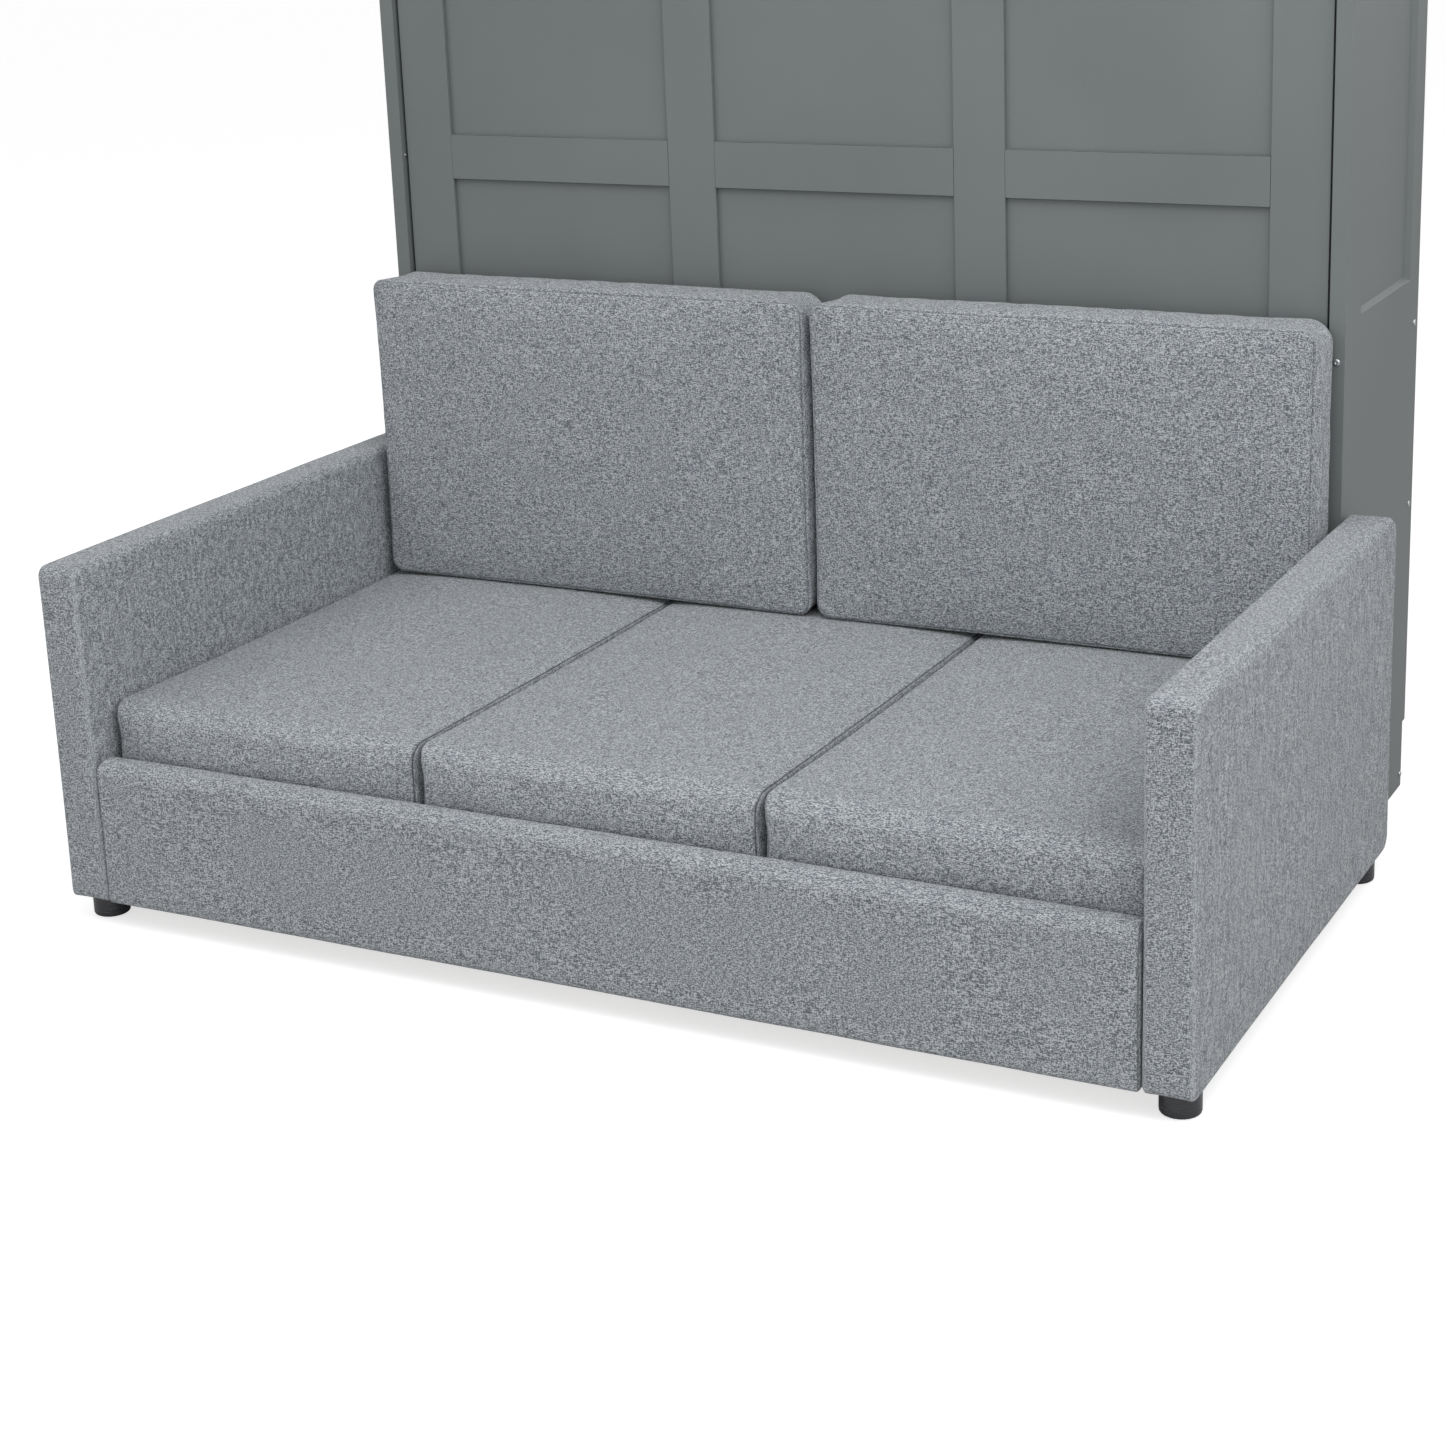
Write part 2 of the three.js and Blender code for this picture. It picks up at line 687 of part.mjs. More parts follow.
/** The sprung slats, held at even spacing by two strips of webbing. */
function slatSet() {
  const across = [slatEndGap - bedInnerHalf, bedInnerHalf - slatEndGap];
  const first = bedHeadInner + slatMargin;
  const pitch = (bedFootInner - slatMargin - slatWidth - first) / (slatCount - 1);
  const slats = [];
  for (let index = 0; index < slatCount; index += 1) {
    const start = first + index * pitch;
    slats.push(box(across, [slatFront, slatRear], [start, start + slatWidth]));
  }
  const tape = [slatRear - webbingSink, slatRear - webbingSink + webbingThickness];
  const length = [first, bedFootInner - slatMargin];
  const strips = sides.map(([, side]) => {
    const span = sideSpan(side, webbingOffset, webbingOffset + webbingWidth);
    return box(span, tape, length);
  });
  return joined(...slats, ...strips);
}

// Pivots

/** The fixed plate with the pivot pin on the cabinet's side, and the moving plate on the bed's side. */
function pivots() {
  const pivot = [pivotY, pivotZ];
  const fixedInner = innerHalf - seatGap - pivotPlateThickness;
  const fixedOuter = innerHalf - seatGap;
  const movingInner = bedOuterHalf + seatGap;
  const movingOuter = movingInner + bedPlateThickness;
  const fixedShape = linkOutline(pivot, [pivotY, pivotZ + pivotPlateRise], pivotPlateRadius);
  const stud = [studY, studZ];
  for (const [name, side] of sides) {
    const pin = roundBar(pivotPinRadius, sideSpan(side, movingInner + pivotPinEndGap, fixedOuter), ...pivot);
    const fixed = plate(fixedShape, sideSpan(side, fixedInner, fixedOuter));
    piece(`pivot_plate_${name}`, joined(fixed, pin), zincSteel);
    const moving = plate(linkOutline(stud, pivot, bedPlateRadius), sideSpan(side, movingInner, movingOuter));
    const studTip = springX - eyeThickness / 2 - studTipGap;
    const studBar = roundBar(studRadius, sideSpan(side, movingInner, studTip), ...stud);
    const hole = roundBar(
      pivotPinRadius + runningGap,
      sideSpan(side, movingInner - cutOverrun, movingOuter + cutOverrun),
      ...pivot,
    );
    piece(`bed_pivot_plate_${name}`, joined(cut(moving, hole), studBar), zincSteel);
  }
}

/** The stops behind the bed's sides, near the top of the cabinet. */
function bedStops() {
  const depth = [bedRear + seatGap, bedRear + seatGap + stopDepth];
  const stopTop = topUnderside - stopDrop;
  const height = [stopTop - stopHeight, stopTop];
  for (const [name, side] of sides) {
    const span = sideSpan(side, bedInnerHalf + stopSideGap, innerHalf - seatGap);
    piece(`bed_stop_${name}`, board(span, depth, height), blackPlastic);
  }
}

// Gas springs

/** A ring of a gas spring's end, with its hole along X, centred on the group's origin. */
function eye(holeRadius) {
  const shape = new THREE.Shape();
  shape.absarc(0, 0, eyeRadius, 0, 2 * Math.PI, false);
  const hole = new THREE.Path();
  hole.absarc(0, 0, holeRadius, 0, 2 * Math.PI, true);
  shape.holes.push(hole);
  return plate(shape, [-eyeThickness / 2, eyeThickness / 2], pinSteps / 2);
}

/** A turned bar that hangs along -Z from the group's origin, from its profile of [radius, depth] pairs. */
function hangingBar(profile) {
  const points = profile.map(([radius, depth]) => new THREE.Vector2(radius, -depth));
  const turned = new THREE.LatheGeometry(points.reverse(), pinSteps);
  return turned.rotateX(Math.PI / 2);
}

/** The two gas springs with their upper brackets. Each hangs from its upper eye, tilted to its stud. */
function gasSprings() {
  const eyeHole = studRadius + runningGap;
  const neckStart = eyeRadius - runningGap;
  const bodyStart = neckStart + cylinderNeckLength;
  const bodyEnd = bodyStart + cylinderLength;
  const boreRadius = rodRadius + runningGap;
  const cylinderProfile = [
    [0, neckStart],
    [cylinderNeckRadius, neckStart],
    [cylinderNeckRadius, bodyStart],
    [cylinderRadius, bodyStart],
    [cylinderRadius, bodyEnd],
    [boreRadius, bodyEnd],
    [boreRadius, bodyEnd - cylinderBoreDepth],
    [0, bodyEnd - cylinderBoreDepth],
  ];
  const rodProfile = [
    [0, bodyEnd - rodOverlap],
    [rodRadius, bodyEnd - rodOverlap],
    [rodRadius, springLength - neckStart - cylinderNeckLength],
    [rodNeckRadius, springLength - neckStart - cylinderNeckLength],
    [rodNeckRadius, springLength - neckStart],
    [0, springLength - neckStart],
  ];
  const bracketOuter = innerHalf - seatGap;
  const bracketInner = bracketOuter - pivotPlateThickness;
  const studTip = springX - eyeThickness / 2 - studTipGap;
  for (const [name, side] of sides) {
    const spring = new THREE.Group();
    spring.position.set(side * springX, anchorY, anchorZ);
    spring.rotation.x = -springTilt;
    layout.add(spring);
    const cylinder = joined(hangingBar(cylinderProfile), eye(eyeHole));
    piece(`gas_cylinder_${name}`, cylinder, blackSteel, spring);
    const lowerEye = eye(eyeHole).translate(0, 0, -springLength);
    piece(`gas_rod_${name}`, joined(hangingBar(rodProfile), lowerEye), zincSteel, spring);
    const base = board(
      sideSpan(side, bracketInner, bracketOuter),
      [anchorY - springBracketWidth / 2, anchorY + springBracketWidth / 2],
      [anchorZ - springBracketHeight / 2, anchorZ + springBracketHeight / 2],
    );
    const stud = roundBar(studRadius, sideSpan(side, studTip, bracketOuter), anchorY, anchorZ);
    const boss = roundBar(
      springBracketRadius,
      sideSpan(side, springX + eyeThickness / 2 + seatGap, bracketOuter),
      anchorY,
      anchorZ,
    );
    piece(`spring_bracket_${name}`, joined(base, stud, boss), zincSteel);
  }
}

// Folding legs

/** The legs that hang from the foot end of the bed and stay upright as it opens, with their brackets. */
function foldingLegs() {
  const axis = [legAxisY, legAxisZ];
  const tip = legAxisZ - legReach;
  const front = legAxisY - legDepth / 2;
  const rear = legAxisY + legDepth / 2;
  const plateRear = doorFace - seatGap;
  const plateFront = plateRear - legBracketPlate;
  const earInner = legWidth / 2 + legEarGap;
  const earOuter = earInner + legEarThickness;
  const earShape = new THREE.Shape();
  earShape.moveTo((plateFront + plateRear) / 2, legAxisZ - legEarRadius);
  earShape.lineTo((plateFront + plateRear) / 2, legAxisZ + legEarRadius);
  earShape.lineTo(legAxisY, legAxisZ + legEarRadius);
  earShape.absarc(legAxisY, legAxisZ, legEarRadius, Math.PI / 2, (3 * Math.PI) / 2, false);
  earShape.closePath();
  for (const [name, side] of sides) {
    const middle = side * legX;
    const span = [middle - legWidth / 2, middle + legWidth / 2];
    const bar = board(span, [front, rear], [tip, legAxisZ], legEdge);
    const head = roundBar(legDepth / 2, span, ...axis);
    const hole = roundBar(legPinRadius + runningGap, [span[0] - cutOverrun, span[1] + cutOverrun], ...axis);
    piece(`leg_${name}`, cut(joined(bar, head), hole), blackSteel);
    const base = board(
      [middle - legBracketWidth / 2, middle + legBracketWidth / 2],
      [plateFront, plateRear],
      [legAxisZ - legBracketHeight / 2, legAxisZ + legBracketHeight / 2],
    );
    const ears = sides.map(([, ear]) => {
      const [near, far] = sideSpan(ear, earInner, earOuter);
      return plate(earShape, [middle + near, middle + far]);
    });
    const pin = roundBar(legPinRadius, [middle - earOuter, middle + earOuter], ...axis);
    piece(`leg_bracket_${name}`, joined(base, ...ears, pin), zincSteel);
  }
}

for (const [name, side] of sides) {
  cabinetSide(name, side);
}
cabinetCase();
sofaArms();
sofaFrame();
seatCushions();
backCushions();
door();
bedBox();
pivots();
bedStops();
gasSprings();
foldingLegs();

export default wallBed;
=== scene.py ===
"""Looks of a wall bed with a sofa in front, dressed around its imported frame.

The cabinet, door, bed and fittings are the frame's own solids with eased edges and finishes.
The sofa's arms, front rail and cushions are sewn here as padded forms and replace their plain solids.
All sizes are in metres.
"""

import json
import logging
import math
from collections.abc import Iterable, Sequence
from dataclasses import dataclass
from enum import Enum

import bmesh
import bpy
import numpy as np
from mathutils import Color, Matrix, Vector, noise

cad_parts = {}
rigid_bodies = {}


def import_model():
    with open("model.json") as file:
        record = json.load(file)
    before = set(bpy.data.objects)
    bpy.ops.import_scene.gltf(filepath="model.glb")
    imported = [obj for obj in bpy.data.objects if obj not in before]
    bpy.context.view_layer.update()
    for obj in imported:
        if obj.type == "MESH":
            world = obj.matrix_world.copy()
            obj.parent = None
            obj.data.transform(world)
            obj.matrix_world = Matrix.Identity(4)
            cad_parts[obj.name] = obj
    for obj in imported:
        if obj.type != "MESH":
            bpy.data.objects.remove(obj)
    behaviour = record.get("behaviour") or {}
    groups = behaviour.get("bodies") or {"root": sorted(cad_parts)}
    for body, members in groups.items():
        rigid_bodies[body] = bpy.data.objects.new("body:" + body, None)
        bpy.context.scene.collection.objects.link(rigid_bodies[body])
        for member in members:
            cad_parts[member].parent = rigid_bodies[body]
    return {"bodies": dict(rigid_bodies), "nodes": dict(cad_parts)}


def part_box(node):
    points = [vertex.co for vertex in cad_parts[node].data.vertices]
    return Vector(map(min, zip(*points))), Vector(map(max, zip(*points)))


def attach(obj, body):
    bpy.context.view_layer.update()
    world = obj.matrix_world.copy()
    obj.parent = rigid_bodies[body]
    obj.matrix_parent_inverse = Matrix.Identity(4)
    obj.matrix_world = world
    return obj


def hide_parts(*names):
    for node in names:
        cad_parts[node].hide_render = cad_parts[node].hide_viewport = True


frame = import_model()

log = logging.getLogger("wall_bed")

MM = 0.001
TOUCH = 1e-9
NEAR = 1e-6
SCREEN_WHITE = 255

Array = np.ndarray
Colour = tuple[float, float, float]
Four = tuple[float, float, float, float]
Pair = tuple[float, float]
Place = tuple[float, float, float]
Faces = tuple[Pair, Pair, Pair]
Shine = tuple[tuple[str, float], ...]
Socket = bpy.types.NodeSocket
Three = tuple[Socket, Socket, Socket]


class Side(Enum):
    """The two hands of the furniture, seen from the front."""

    LEFT = -1
    RIGHT = 1

    @property
    def word(self) -> str:
        """The hand's name as it ends a piece's name."""
        return self.name.lower()


class Axis(Enum):
    """A direction of the room, such as the one that wood grain runs along."""

    X = 0
    Y = 1
    Z = 2


Axes = tuple[Axis, Axis, Axis]
FREE: Pair = (math.inf, math.inf)


class SeamPlan(Enum):
    """Which sewn edges of a padded form show a seam."""

    BOTH_PANELS = "both panels"
    FRONT_STRIP = "front strip"


def srgb(*steps: int) -> Colour:
    """Gives a screen colour, in steps from 0 to 255, as the linear values that a shader takes."""
    return tuple(Color([step / SCREEN_WHITE for step in steps]).from_srgb_to_scene_linear())


def even(size: float) -> list[float]:
    """Gives spots per metre for spots of one size along every axis."""
    return [1 / size] * len(Axis)


def grained(along: float, across: float, axis: Axis) -> list[float]:
    """Gives spots per metre for spots of one size along an axis and another across it."""
    return [1 / (along if other is axis else across) for other in Axis]


class Nodes:
    """The nodes of a material or of the world, added a few at a time."""

    def __init__(self, tree: bpy.types.NodeTree) -> None:
        """Takes the tree that the nodes go into."""
        self.tree = tree

    def add(self, kind: str, **settings: object) -> bpy.types.Node:
        """Adds a node with the given settings."""
        node = self.tree.nodes.new(kind)
        for name, value in settings.items():
            setattr(node, name, value)
        return node

    def fill(self, node: bpy.types.Node, values: dict[str, object]) -> bpy.types.Node:
        """Sets a node's sockets by their names."""
        for name, value in values.items():
            node.inputs[name].default_value = value
        return node

    def link(self, source: Socket, target: Socket) -> None:
        """Joins two sockets."""
        self.tree.links.new(source, target)

    def maths(
        self, operation: str, first: Socket | float, second: Socket | float, clamp: bool = False
    ) -> Socket:
        """Gives the result of one sum.

        Args:
            operation: The sum's kind.
            first: A socket or number.
            second: Another, which some kinds leave aside.
            clamp: Whether the result stays from 0 to 1.

        Returns:
            The result's socket.
        """
        node = self.add("ShaderNodeMath", operation=operation, use_clamp=clamp)
        for slot, value in zip(node.inputs, (first, second)):
            if isinstance(value, (int, float)):
                slot.default_value = value
            else:
                self.link(value, slot)
        return node.outputs["Value"]

    def product(self, first: Socket, *others: Socket | float) -> Socket:
        """Gives the product of a socket with others or with numbers."""
        for other in others:
            first = self.maths("MULTIPLY", first, other)
        return first


class Shading(Nodes):
    """One material's nodes round its main shader."""

    MIDDLE = 0.5
    SPREAD = (0.25, 0.75)
    MIX_FROM, MIX_TO, MIX_RESULT = 6, 7, 2

    def __init__(self, name: str, **constants: float) -> None:
        """Makes a material and sets the constants on its shader's own sockets.

        Args:
            name: The material's name.
            **constants: Socket names of the shader in lower case with underscores, and their values.
        """
        self.material = bpy.data.materials.new(name)
        self.material.use_nodes = True
        super().__init__(self.material.node_tree)
        self.shader = next(n for n in self.tree.nodes if n.type == "BSDF_PRINCIPLED")
        for socket, value in constants.items():
            words = socket.replace("_", " ").title().replace("Ior", "IOR")
            self.shader.inputs[words].default_value = value
        self.place = self.add("ShaderNodeTexCoord")

    def to_shader(self, source: Socket, socket: str) -> None:
        """Joins a socket to one of the shader's."""
        self.link(source, self.shader.inputs[socket])

    def split(self, output: str) -> list[Socket]:
        """Gives the three parts of one of the piece's own coordinates, such as its normal."""
        node = self.add("ShaderNodeSeparateXYZ")
        self.link(self.place.outputs[output], node.inputs["Vector"])
        return list(node.outputs)

    def speckle(
        self, scale: Sequence[float], detail: float = 1.0, roughness: float = 0.5, distortion: float = 0.0
    ) -> Socket:
        """Gives noise on the piece's own coordinates.

        Args:
            scale: Spots per metre along the three axes.
            detail: Octaves of finer noise.
            roughness: How strong the finer octaves are.
            distortion: How far the noise is warped.

        Returns:
            The noise's factor socket, near 0.5 on average.
        """
        place = self.fill(self.add("ShaderNodeMapping"), {"Scale": scale})
        self.link(self.place.outputs["Object"], place.inputs["Vector"])
        values = {"Scale": 1.0, "Detail": detail, "Roughness": roughness, "Distortion": distortion}
        node = self.fill(self.add("ShaderNodeTexNoise"), values)
        self.link(place.outputs["Vector"], node.inputs["Vector"])
        return node.outputs["Fac"]

    def ramp(self, factor: Socket, stops: Iterable[tuple[float, Colour]]) -> Socket:
        """Turns a factor into colours.

        Args:
            factor: The socket that picks the colour.
            stops: Positions from 0 to 1 and their linear colours, in order.

        Returns:
            The colour socket.
        """
        node = self.add("ShaderNodeValToRGB")
        marks = node.color_ramp.elements
        ready = len(marks)
        for number, (position, colour) in enumerate(stops):
            mark = marks[number] if number < ready else marks.new(position)
            mark.position, mark.color = position, (*colour, 1.0)
        self.link(factor, node.inputs["Fac"])
        return node.outputs["Color"]

    def towards(self, colour: Socket, share: Socket, to: Colour) -> Socket:
        """Moves a colour towards another by a share, which counts as nothing below zero."""
        node = self.add("ShaderNodeMix", data_type="RGBA", clamp_factor=True)
        self.link(share, node.inputs["Factor"])
        self.link(colour, node.inputs[self.MIX_FROM])
        node.inputs[self.MIX_TO].default_value = (*to, 1.0)
        return node.outputs[self.MIX_RESULT]

    def span(self, factor: Socket, low: float, high: float) -> Socket:
        """Maps a factor's middle half to the range from low to high."""
        start, stop = self.SPREAD
        values = {"From Min": start, "From Max": stop, "To Min": low, "To Max": high}
        node = self.fill(self.add("ShaderNodeMapRange"), values)
        self.link(factor, node.inputs["Value"])
        return node.outputs["Result"]

    def relief(self, height: Socket, strength: float, depth: float) -> None:
        """Raises and lowers the surface by a bump.

        Args:
            height: The socket that gives the height from 0 to 1.
            strength: The share of the bump that shows.
            depth: The height in metres at 1.
        """
        node = self.fill(self.add("ShaderNodeBump"), {"Strength": strength, "Distance": depth})
        self.link(height, node.inputs["Height"])
        self.to_shader(node.outputs["Normal"], "Normal")


@dataclass(frozen=True)
class Finish:
    """A finish of two tones. Each kind gives the patterns of its colour, roughness and relief."""

    name: str
    low: Colour
    high: Colour
    rough: Pair
    bump: Pair
    stops: Pair = (0.3, 0.7)
    detail: float = 2.0
    shine: Shine = ()

    def patterns(self, s: Shading) -> Three:
        """Gives the patterns that the colour, the roughness and the relief follow."""
        raise NotImplementedError

    def material(self) -> bpy.types.Material:
        """Builds the material."""
        s = Shading(self.name, **dict(self.shine))
        tone, shine, height = self.patterns(s)
        s.to_shader(s.ramp(tone, zip(self.stops, (self.low, self.high))), "Base Color")
        s.to_shader(s.span(shine, *self.rough), "Roughness")
        s.relief(height, *self.bump)
        return s.material


@dataclass(frozen=True)
class SatinPaint(Finish):
    """Sprayed grey paint on smooth board, with a faint orange peel."""

    name: str = "satin_paint"
    low: Colour = srgb(107, 112, 112)
    high: Colour = srgb(113, 118, 118)
    rough: Pair = (0.4, 0.48)
    bump: Pair = (0.25, 0.05 * MM)
    shine: Shine = (("specular_ior_level", 0.35),)
    cloud: float = 0.35
    cloud_detail: float = 4.0
    peel: float = 3.5 * MM

    def patterns(self, s: Shading) -> Three:
        """Gives faint clouds, and the peel as relief."""
        clouds = s.speckle(even(self.cloud), self.cloud_detail)
        return clouds, clouds, s.speckle(even(self.peel), self.detail)


@dataclass(frozen=True)
class RawBoard(Finish):
    """Matt pressed board with short fibres, for the cabinet's back."""

    name: str = "raw_board"
    low: Colour = srgb(126, 130, 127)
    high: Colour = srgb(156, 160, 156)
    rough: Pair = (0.7, 0.85)
    bump: Pair = (0.4, 0.15 * MM)
    detail: float = 3.0
    shine: Shine = (("specular_ior_level", 0.2),)
    fibre: Pair = (9 * MM, 1.2 * MM)

    def patterns(self, s: Shading) -> Three:
        """Gives fibres that lie both ways."""
        level, upright = (s.speckle(grained(*self.fibre, axis), self.detail) for axis in (Axis.X, Axis.Z))
        fibres = s.maths("MULTIPLY", s.maths("ADD", level, upright), Shading.MIDDLE)
        return fibres, fibres, fibres


@dataclass(frozen=True)
class PlanedPine(Finish):
    """Planed softwood whose grain runs along one axis."""

    name: str = "planed_pine"
    low: Colour = srgb(222, 194, 150)
    high: Colour = srgb(186, 143, 94)
    rough: Pair = (0.5, 0.68)
    bump: Pair = (0.3, 0.12 * MM)
    stops: Pair = (0.15, 0.85)
    along: Axis = Axis.X
    shine: Shine = (("specular_ior_level", 0.3),)
    ring: Pair = (0.45, 11 * MM)
    ring_roughness: float = 0.4
    ring_warp: float = 0.6
    rings: float = 6.0
    ring_share: float = 0.6
    pore: Pair = (14 * MM, 0.5 * MM)

    def patterns(self, s: Shading) -> Three:
        """Gives year rings with pores between them."""
        wave = s.speckle(grained(*self.ring, self.along), self.detail, self.ring_roughness, self.ring_warp)
        bands = s.maths("FRACT", s.product(wave, self.rings), 0.0)
        pores = s.speckle(grained(*self.pore, self.along), self.detail)
        tone = s.maths("ADD", s.product(bands, self.ring_share), s.product(pores, 1 - self.ring_share))
        return tone, pores, tone


@dataclass(frozen=True)
class ZincSteel(Finish):
    """Bright zinc plating with faint spangles and fine rubbing marks."""

    name: str = "zinc_steel"
    low: Colour = srgb(176, 178, 181)
    high: Colour = srgb(205, 207, 210)
    rough: Pair = (0.28, 0.42)
    bump: Pair = (0.2, 0.03 * MM)
    stops: Pair = (0.35, 0.65)
    detail: float = 3.0
    shine: Shine = (("metallic", 1.0),)
    spangle: float = 6 * MM
    rub: Pair = (20 * MM, 0.6 * MM)

    def patterns(self, s: Shading) -> Three:
        """Gives spangles, and upright marks as roughness and relief."""
        marks = s.speckle(grained(*self.rub, Axis.Z))
        return s.speckle(even(self.spangle), self.detail), marks, marks


@dataclass(frozen=True)
class PowderCoat(Finish):
    """Black powder coat on steel, finely pitted."""

    name: str = "powder_coat"
    low: Colour = srgb(30, 31, 33)
    high: Colour = srgb(42, 43, 45)
    rough: Pair = (0.42, 0.56)
    bump: Pair = (0.4, 0.08 * MM)
    pit: float = 0.9 * MM

    def patterns(self, s: Shading) -> Three:
        """Gives the pits."""
        pits = s.speckle(even(self.pit), self.detail)
        return pits, pits, pits


@dataclass(frozen=True)
class GlossPlastic(Finish):
    """Glossy black moulded plastic, lightly scuffed."""

    name: str = "gloss_plastic"
    low: Colour = srgb(42, 43, 46)
    high: Colour = srgb(58, 59, 63)
    rough: Pair = (0.16, 0.3)
    bump: Pair = (0.15, 0.04 * MM)
    shine: Shine = (("coat_weight", 0.3), ("coat_roughness", 0.1))
    scuff: Pair = (1.5 * MM, 12 * MM)

    def patterns(self, s: Shading) -> Three:
        """Gives level scuffs."""
        scuffs = s.speckle(grained(*self.scuff, Axis.Z), self.detail)
        return scuffs, scuffs, scuffs


@dataclass(frozen=True)
class HeatherWeave:
    """Heathered grey upholstery cloth, with slubs along both threads.

    The slubs follow the two axes that lie in the surface, which the piece's own normal tells, and
    broader streaks run up the sides. The mesh gives painted shade that darkens the cloth along a
    seam's groove and, below zero, a painted highlight that lightens it along a fold.
    """

    name: str = "heather_weave"
    tones: tuple[tuple[float, Colour], ...] = (
        (0.12, srgb(92, 96, 100)),
        (0.36, srgb(122, 127, 132)),
        (0.5, srgb(138, 143, 148)),
        (0.66, srgb(154, 159, 164)),
        (0.9, srgb(188, 191, 194)),
    )
    # Painted shade: this dark colour stands in for the shadow inside a seam's groove.
    seam: Colour = srgb(48, 50, 53)
    # Painted highlight: this pale colour stands in for light catching the arm's front fold.
    fold: Colour = srgb(188, 191, 194)
    shine: Shine = (
        ("specular_ior_level", 0.15),
        ("roughness", 0.88),
        ("sheen_weight", 0.12),
        ("sheen_roughness", 0.5),
    )
    slub: Pair = (9.0 * MM, 1.2 * MM)
    slub_weight: float = 1.15
    fleck: Pair = (3.2 * MM, 1.0 * MM)
    fleck_weight: float = 2.0
    fuzz: Pair = (1.0, 0.6)
    lay: Place = (1.55, 1.3, 1.0)
    warp: Pair = (26 * MM, 7 * MM)
    warp_weight: float = 1.15
    warp_fuzz: Pair = (2.0, 0.7)
    thread: float = 1.1 * MM
    rib_weight: float = 0.12
    bump: Pair = (0.55, 0.35 * MM)

    def streak(self, s: Shading, size: Pair, axis: Axis, fuzz: Pair) -> Socket:
        """Gives streaks of the given size along an axis, near zero on average."""
        return s.maths("SUBTRACT", s.speckle(grained(*size, axis), *fuzz), Shading.MIDDLE)

    def material(self) -> bpy.types.Material:
        """Builds the material.

        Returns:
            The cloth's material.
        """
        s = Shading(self.name, **dict(self.shine))
        normal, spot = s.split("Normal"), s.split("Object")
        heather, ribs = Shading.MIDDLE, 0.0
        for axis in Axis:
            part, strength = normal[axis.value], self.lay[axis.value]
            lying = s.maths("SUBTRACT", 1.0, s.product(part, part))
            for size, weight in ((self.slub, self.slub_weight), (self.fleck, self.fleck_weight)):
                share = s.product(self.streak(s, size, axis, self.fuzz), lying, weight * strength)
                heather = s.maths("ADD", share, heather)
            wave = s.maths("SINE", s.product(spot[axis.value], math.tau / self.thread), 0.0)
            ribs = s.maths("ADD", s.product(wave, lying), ribs)
        side = normal[Axis.X.value]
        streak = self.streak(s, self.warp, Axis.Z, self.warp_fuzz)
        heather = s.maths("ADD", s.product(side, side, s.product(streak, self.warp_weight)), heather)
        # The attribute paints shade along the seams, and below zero a highlight along the arm's fold.
        line = s.add("ShaderNodeAttribute", attribute_name="seam").outputs["Fac"]
        colour = s.towards(s.ramp(heather, self.tones), line, self.seam)
        s.to_shader(s.towards(colour, s.product(line, -1.0), self.fold), "Base Color")
        s.relief(s.maths("ADD", s.product(ribs, self.rib_weight), heather), *self.bump)
        return s.material


class Finishes:
    """Every finish of the furniture, each built once."""

    def __init__(self) -> None:
        """Builds the materials."""
        kinds = (SatinPaint, RawBoard, HeatherWeave, ZincSteel, PowderCoat, GlossPlastic)
        built = [kind().material() for kind in kinds]
        self.paint, self.board, self.weave, self.zinc, self.black, self.plastic = built
        self.pine = {a: PlanedPine(f"planed_pine_{a.name.lower()}", along=a).material() for a in Axis}


WELD_GAP = 0.02 * MM
EDGE_SEGMENTS = 2
SHARP_ANGLE = math.radians(30)
FLAT_WEIGHT = 60


def ease(node: str, finish: bpy.types.Material, edge: float) -> None:
    """Gives a frame solid its finish and eases its sharp edges.

    Args:
        node: The solid's node name.
        finish: The material that it wears.
        edge: The width of the eased edge in metres.
    """
    piece = frame["nodes"][node]
    mesh = piece.data
    mesh.materials.clear()
    mesh.materials.append(finish)
    if "custom_normal" in mesh.attributes:
        mesh.attributes.remove(mesh.attributes["custom_normal"])
    mesh.polygons.foreach_set("use_smooth", [True] * len(mesh.polygons))
    weld = piece.modifiers.new("weld", "WELD")
    weld.merge_threshold = WELD_GAP
    bevel = piece.modifiers.new("eased", "BEVEL")
    bevel.width, bevel.segments = edge, EDGE_SEGMENTS
    bevel.limit_method, bevel.angle_limit = "ANGLE", SHARP_ANGLE
    shade = piece.modifiers.new("shade", "WEIGHTED_NORMAL")
    shade.mode, shade.weight = "FACE_AREA", FLAT_WEIGHT
    log.info("dressed %s", node)


def mesh_piece(
    name: str, points: Array, faces: Iterable[Sequence[int]], finish: bpy.types.Material
) -> bpy.types.Object:
    """Makes one smooth mesh piece whose faces look outwards.

    Args:
        name: The piece's name.
        points: Its corners in metres.
        faces: Corner numbers of each face.
        finish: The material that it wears.

    Returns:
        The new object.
    """
    mesh = bpy.data.meshes.new(name)
    mesh.from_pydata(points.tolist(), [], [list(map(int, f)) for f in faces])
    shell = bmesh.new()
    shell.from_mesh(mesh)
    bmesh.ops.recalc_face_normals(shell, faces=shell.faces)
    shell.to_mesh(mesh)
    shell.free()
    mesh.polygons.foreach_set("use_smooth", [True] * len(mesh.polygons))
    mesh.materials.append(finish)
    piece = bpy.data.objects.new(name, mesh)
    bpy.context.scene.collection.objects.link(piece)
    return piece


def stations(half: float, step: float, near: Sequence[float]) -> Array:
    """Places the lattice lines along one axis, closer together near both ends.

    Args:
        half: Half the length.
        step: The spacing far from the ends.
        near: Distances of extra lines from each end, growing.

    Returns:
        The line positions from -half to half.
    """
    inner = half - near[-1]
    count = max(2, round(2 * inner / step))
    middle = np.linspace(-inner, inner, count + 1)
    ends = half - np.array((0.0, *near[:-1]))
    return np.concatenate((-ends, middle, ends[::-1]))


